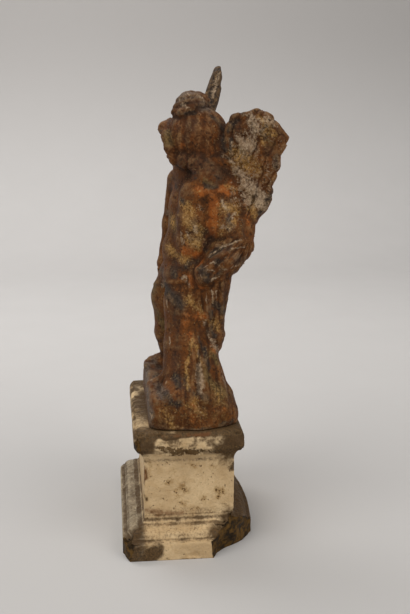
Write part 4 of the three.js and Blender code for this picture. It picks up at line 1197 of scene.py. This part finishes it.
# Lime on the raised feathers of the left wing, partly painted highlight
masks["lime_and_highlight"] += 0.38 * feathered * ease(16, 21, x) * (1 - 0.8 * masks["dip"])
masks["dip"] *= 1 - 0.4 * feathered
for kind in ("lime_and_highlight", "ochre", "rust"):
    masks[kind] -= 0.7 * masks["deep_brown_and_shade"]
for kind, values in masks.items():
    give_mask(figure, kind, values)
give_values(figure, "comb_round", 0.016 * np.arctan2(from_head[:, 0], -from_head[:, 1]))
give_values(figure, "comb_along", 0.00025 * from_head[:, 2])

terracotta, tree, shader, where = new_finish("weathered fired clay")
fine = spots(where, 1.4, 4, 0.75)
grit = spots(where, 1.1, 1, 0.5, 0, 7.7)
coarse = spots(where, 3.2, 6, 0.72, 0.5, 0.4)
broad = spots(where, 14, 5, 0.6, 0.6, 0.9)
colour = mottled(broad, 0.35, 0.65, (0.066, 0.021, 0.004), (0.138, 0.044, 0.008))
colour = tint(grade(coarse, 0.46, 0.68, 0, 0.55), colour, (0.23, 0.085, 0.018))
colour = tint(grade(fine, 0.5, 0.66, 0, 0.8), colour, (0.03, 0.012, 0.004))
combs = {0: mask_of(tree, "comb_round"), 1: mask_of(tree, "comb_along")}
strands = spots(add(tree, "ShaderNodeCombineXYZ", combs)[0], 1.1, 3, 0.6)
hair_mask = mask_of(tree, "hair")
hair_colour = mottled(coarse, 0.4, 0.66, (0.060, 0.019, 0.004), (0.138, 0.041, 0.008))
hair_colour = tint(grade(strands, 0.5, 0.7, 0, 0.4), hair_colour, (0.04, 0.015, 0.006))
colour = tint(times(hair_mask, 0.85), colour, hair_colour)

# What lies on the clay, from the lowest deposit up, with painted shade in the soot and deep
# brown layers and painted light in the grey and lime layers: how much of it covers the clay,
# and its colour by [noise, from, to, darkest, lightest]
RAGGED = {"olive": 1.6, "rust": 1.8, "grey_dust_and_cool_light": 1.8, "deep_brown_and_shade": 1.6, "soot_and_shade": 1.8}
cover = {kind: soft_mask(mask_of(tree, kind), coarse, bite) for kind, bite in RAGGED.items()}
ochre_noise = spots(where, 1.3, 4, 0.75, 0.3, 9.1)
lime_noise = spots(where, 1.5, 4, 0.7, 0.4, 1.7)
lime_and_highlight = soft_mask(mask_of(tree, "lime_and_highlight"), lime_noise, 2.6, 0.3, 0.95)
cover["ochre"] = times(soft_mask(mask_of(tree, "ochre"), ochre_noise, 2.6, 0.25, 0.95), 0.8)
cover["lime_and_highlight"] = times(lime_and_highlight, 0.75)
DEPOSITS = {
    "olive": (fine, 0.35, 0.65, (0.060, 0.034, 0.011), (0.17, 0.105, 0.036)),
    "rust": (coarse, 0.35, 0.65, (0.19, 0.052, 0.009), (0.32, 0.092, 0.016)),
    "grey_dust_and_cool_light": (fine, 0.35, 0.65, (0.055, 0.036, 0.024), (0.165, 0.117, 0.085)),
    "deep_brown_and_shade": (fine, 0.35, 0.65, (0.030, 0.013, 0.006), (0.095, 0.034, 0.012)),
    "ochre": (fine, 0.35, 0.6, (0.15, 0.066, 0.013), (0.46, 0.26, 0.080)),
    "soot_and_shade": (fine, 0.4, 0.7, (0.020, 0.013, 0.009), (0.075, 0.052, 0.038)),
    "lime_and_highlight": (fine, 0.3, 0.7, (0.19, 0.12, 0.065), (0.60, 0.45, 0.30)),
}
for kind, looks in DEPOSITS.items():
    colour = tint(cover[kind], colour, mottled(*looks))

# Raised edges are paler: rubbed clay where lime stays, and a painted highlight
rubbed_and_highlit = times(mask_of(tree, "ridge"), grade(coarse, 0.38, 0.62, 0, 0.4))
colour = tint(rubbed_and_highlit, colour, (0.28, 0.16, 0.07))
# Painted shade: hollows and dips in the clay are darkened
sunken_shade = calc("MAXIMUM", grade(mask_of(tree, "hollow"), 0.2, 1, 0, 0.6), mask_of(tree, "dip"))
colour = tint(times(sunken_shade, 0.7), colour, (0.028, 0.012, 0.005))
speck_share = calc("MULTIPLY_ADD", mask_of(tree, "ochre"), 0.45, grade(coarse, 0.45, 0.65, 0.02, 0.2))
colour = tint(times(grade(grit, 0.58, 0.68), speck_share), colour, (0.50, 0.33, 0.15))
grain_colour = mottled(coarse, 0.42, 0.62, (0.13, 0.06, 0.02), (0.50, 0.34, 0.17))
colour = tint(times(mask_of(tree, "grain"), 0.7), colour, grain_colour)
pinholes = grade(spots(where, 1.3, 2, 0.5, 0, 5.5), 0.64, 0.72)
colour = tint(times(pinholes, 0.8), colour, (0.02, 0.01, 0.006))
height = calc("ADD", times(fine, 0.9), times(coarse, 1.2))
height = calc("ADD", height, times(lime_and_highlight, 0.4))
height = calc("ADD", height, times(times(strands, hair_mask), 0.8))
height = calc("SUBTRACT", height, times(pinholes, 0.6))
finish_surface(shader, colour, grade(coarse, 0.3, 0.7, 0.45, 0.7), height)


# Grains of crust are scattered where the clay is limed or ochre, half sunk into its skin.
# They take the masks of the place where they sit, and their own mask marks them as grains.
def grain_tree():
    tree = bpy.data.node_groups.new("crust grains", "GeometryNodeTree")
    kinds = {
        "Clay": "Geometry", "Density": "Float", "Radius": "Float", "Smallest": "Float",
        "Largest": "Float", "Seed": "Int", "Finish": "Material",
    }
    for name, kind in kinds.items():
        tree.interface.new_socket(name, in_out="INPUT", socket_type=f"NodeSocket{kind}")
    tree.interface.new_socket("Clay", in_out="OUTPUT", socket_type="NodeSocketGeometry")
    given = tree.nodes.new("NodeGroupInput").outputs
    crusted = add(tree, "GeometryNodeInputNamedAttribute", {"Name": "crust"})["Attribute"]
    spread = {"Mesh": given["Clay"], "Density": times(crusted, given["Density"]), "Seed": given["Seed"]}
    scattered = add(tree, "GeometryNodeDistributePointsOnFaces", spread)
    eight_sided = {"Segments": 4, "Rings": 2, "Radius": given["Radius"]}
    lump = add(tree, "GeometryNodeMeshUVSphere", eight_sided)["Mesh"]
    named = {"Geometry": lump, "Name": "grain", "Value": 1}
    marked = add(tree, "GeometryNodeStoreNamedAttribute", named)["Geometry"]
    sizes = {2: given["Smallest"], 3: given["Largest"], "Seed": given["Seed"]}
    placing = {
        "Points": scattered["Points"], "Instance": marked, "Rotation": scattered["Rotation"],
        "Scale": add(tree, "FunctionNodeRandomValue", sizes)[1],
    }
    placed = add(tree, "GeometryNodeInstanceOnPoints", placing)["Instances"]
    joined = tree.nodes.new("GeometryNodeJoinGeometry")
    for part in (placed, given["Clay"]):
        put(joined.inputs[0], part)
    realized = add(tree, "GeometryNodeRealizeInstances", {"Geometry": joined.outputs[0]})[0]
    finished = add(tree, "GeometryNodeSetMaterial", {"Geometry": realized, "Material": given["Finish"]})[0]
    put(tree.nodes.new("NodeGroupOutput").inputs[0], finished)
    return tree


GRAINS = {
    "Density": 88000.0, "Radius": 0.00033, "Smallest": 0.5, "Largest": 1.5, "Seed": 71,
    "Finish": terracotta,
}
crusted = np.maximum(np.maximum(masks["lime_and_highlight"], masks["ochre"]), 0.15) * (1 - masks["hollow"])
give_mask(figure, "crust", crusted)
graining = figure.modifiers.new("graining", "NODES")
graining.node_group = grain_tree()
for socket in graining.node_group.interface.items_tree:
    if socket.in_out == "INPUT" and socket.name in GRAINS:
        graining[socket.identifier] = GRAINS[socket.name]
apply_modifier(figure, graining)
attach(figure, "root")
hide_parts("statuette")


# The floor is one pale sheet that lies flat under the object and sweeps up behind it. Painted
# shade makes it a little darker towards the camera and where it rises, as in the photograph.
FLOOR_HALF = 1600
SWEEP_START = -900
SWEEP_RADIUS = 500
WALL_TOP = 2400
sweep_angles = np.linspace(0, math.pi / 2, 13)
section = [(FLOOR_HALF, 0)]
for angle in sweep_angles:
    section.append((SWEEP_START - SWEEP_RADIUS * math.sin(angle), SWEEP_RADIUS * (1 - math.cos(angle))))
section.append((SWEEP_START - SWEEP_RADIUS, WALL_TOP))
floor_points = [(along, side, up) for along, up in section for side in (-FLOOR_HALF, FLOOR_HALF)]
floor_faces = [(2 * i + 2, 2 * i + 3, 2 * i + 1, 2 * i) for i in range(len(section) - 1)]
floor = piece_from("floor", floor_points, floor_faces)
paper, tree, shader, where = new_finish("pale paper")
x_of, _, z_of = add(tree, "ShaderNodeSeparateXYZ", {0: where})
colour = tint(spots(where, 60, 3), (0.54, 0.527, 0.518), (0.57, 0.556, 0.547))
# Painted shade: darker towards the camera and where the sheet rises
colour = tint(grade(x_of, -0.55, 0.25, 0, 0.8), colour, (0.47, 0.459, 0.45))
put(shader["Base Color"], tint(grade(z_of, 0.02, 0.5), colour, (0.40, 0.385, 0.375)))
put(shader["Roughness"], 0.9)
floor.data.materials.append(paper)


# Soft studio light: a pale room, a large lamp high on the left, a weaker one on the right and
# a third for the floor behind. The lamps' places and aims are in metres.
world = bpy.data.worlds.new("studio")
world.use_nodes = True
room = world.node_tree.nodes["Background"].inputs
room["Color"].default_value = (1, 0.985, 0.96, 1)
room["Strength"].default_value = 0.4
bpy.context.scene.world = world


def lamp(name, place, aim, size, power, colour):
    light = bpy.data.lights.new(name, "AREA")
    light.size = size
    light.energy = power
    light.color = colour
    fixture = bpy.data.objects.new(name, light)
    bpy.context.scene.collection.objects.link(fixture)
    fixture.location = place
    x, y, z = (a - b for a, b in zip(aim, place))
    fixture.rotation_euler = (math.atan2(math.hypot(x, y), -z), 0, math.atan2(-x, y))


lamp("key_lamp", (0.6, -0.8, 1.3), (0, 0, 0.14), 1.1, 11, (1, 0.98, 0.95))
lamp("fill_lamp", (0.8, 0.9, 0.9), (0, 0.1, 0.1), 1, 8, (1, 0.97, 0.93))
lamp("wall_lamp", (-0.6, -0.3, 1.1), (-0.9, 0, 0), 0.6, 7, (1, 0.99, 0.98))

# The camera looks along the plinth's length from the figure's left, a little downwards, as it
# was fitted to the photograph
CAMERA_ROLL = math.radians(-0.1)
camera_data = bpy.data.cameras.new("camera")
camera_data.lens = 50
camera = bpy.data.objects.new("camera", camera_data)
bpy.context.scene.collection.objects.link(camera)
camera.location = CAMERA_PLACE * 0.001
camera.rotation_euler = (math.pi / 2 - CAMERA_TILT, CAMERA_ROLL, CAMERA_TURN)
bpy.context.scene.camera = camera
bpy.context.scene.view_settings.view_transform = "Standard"
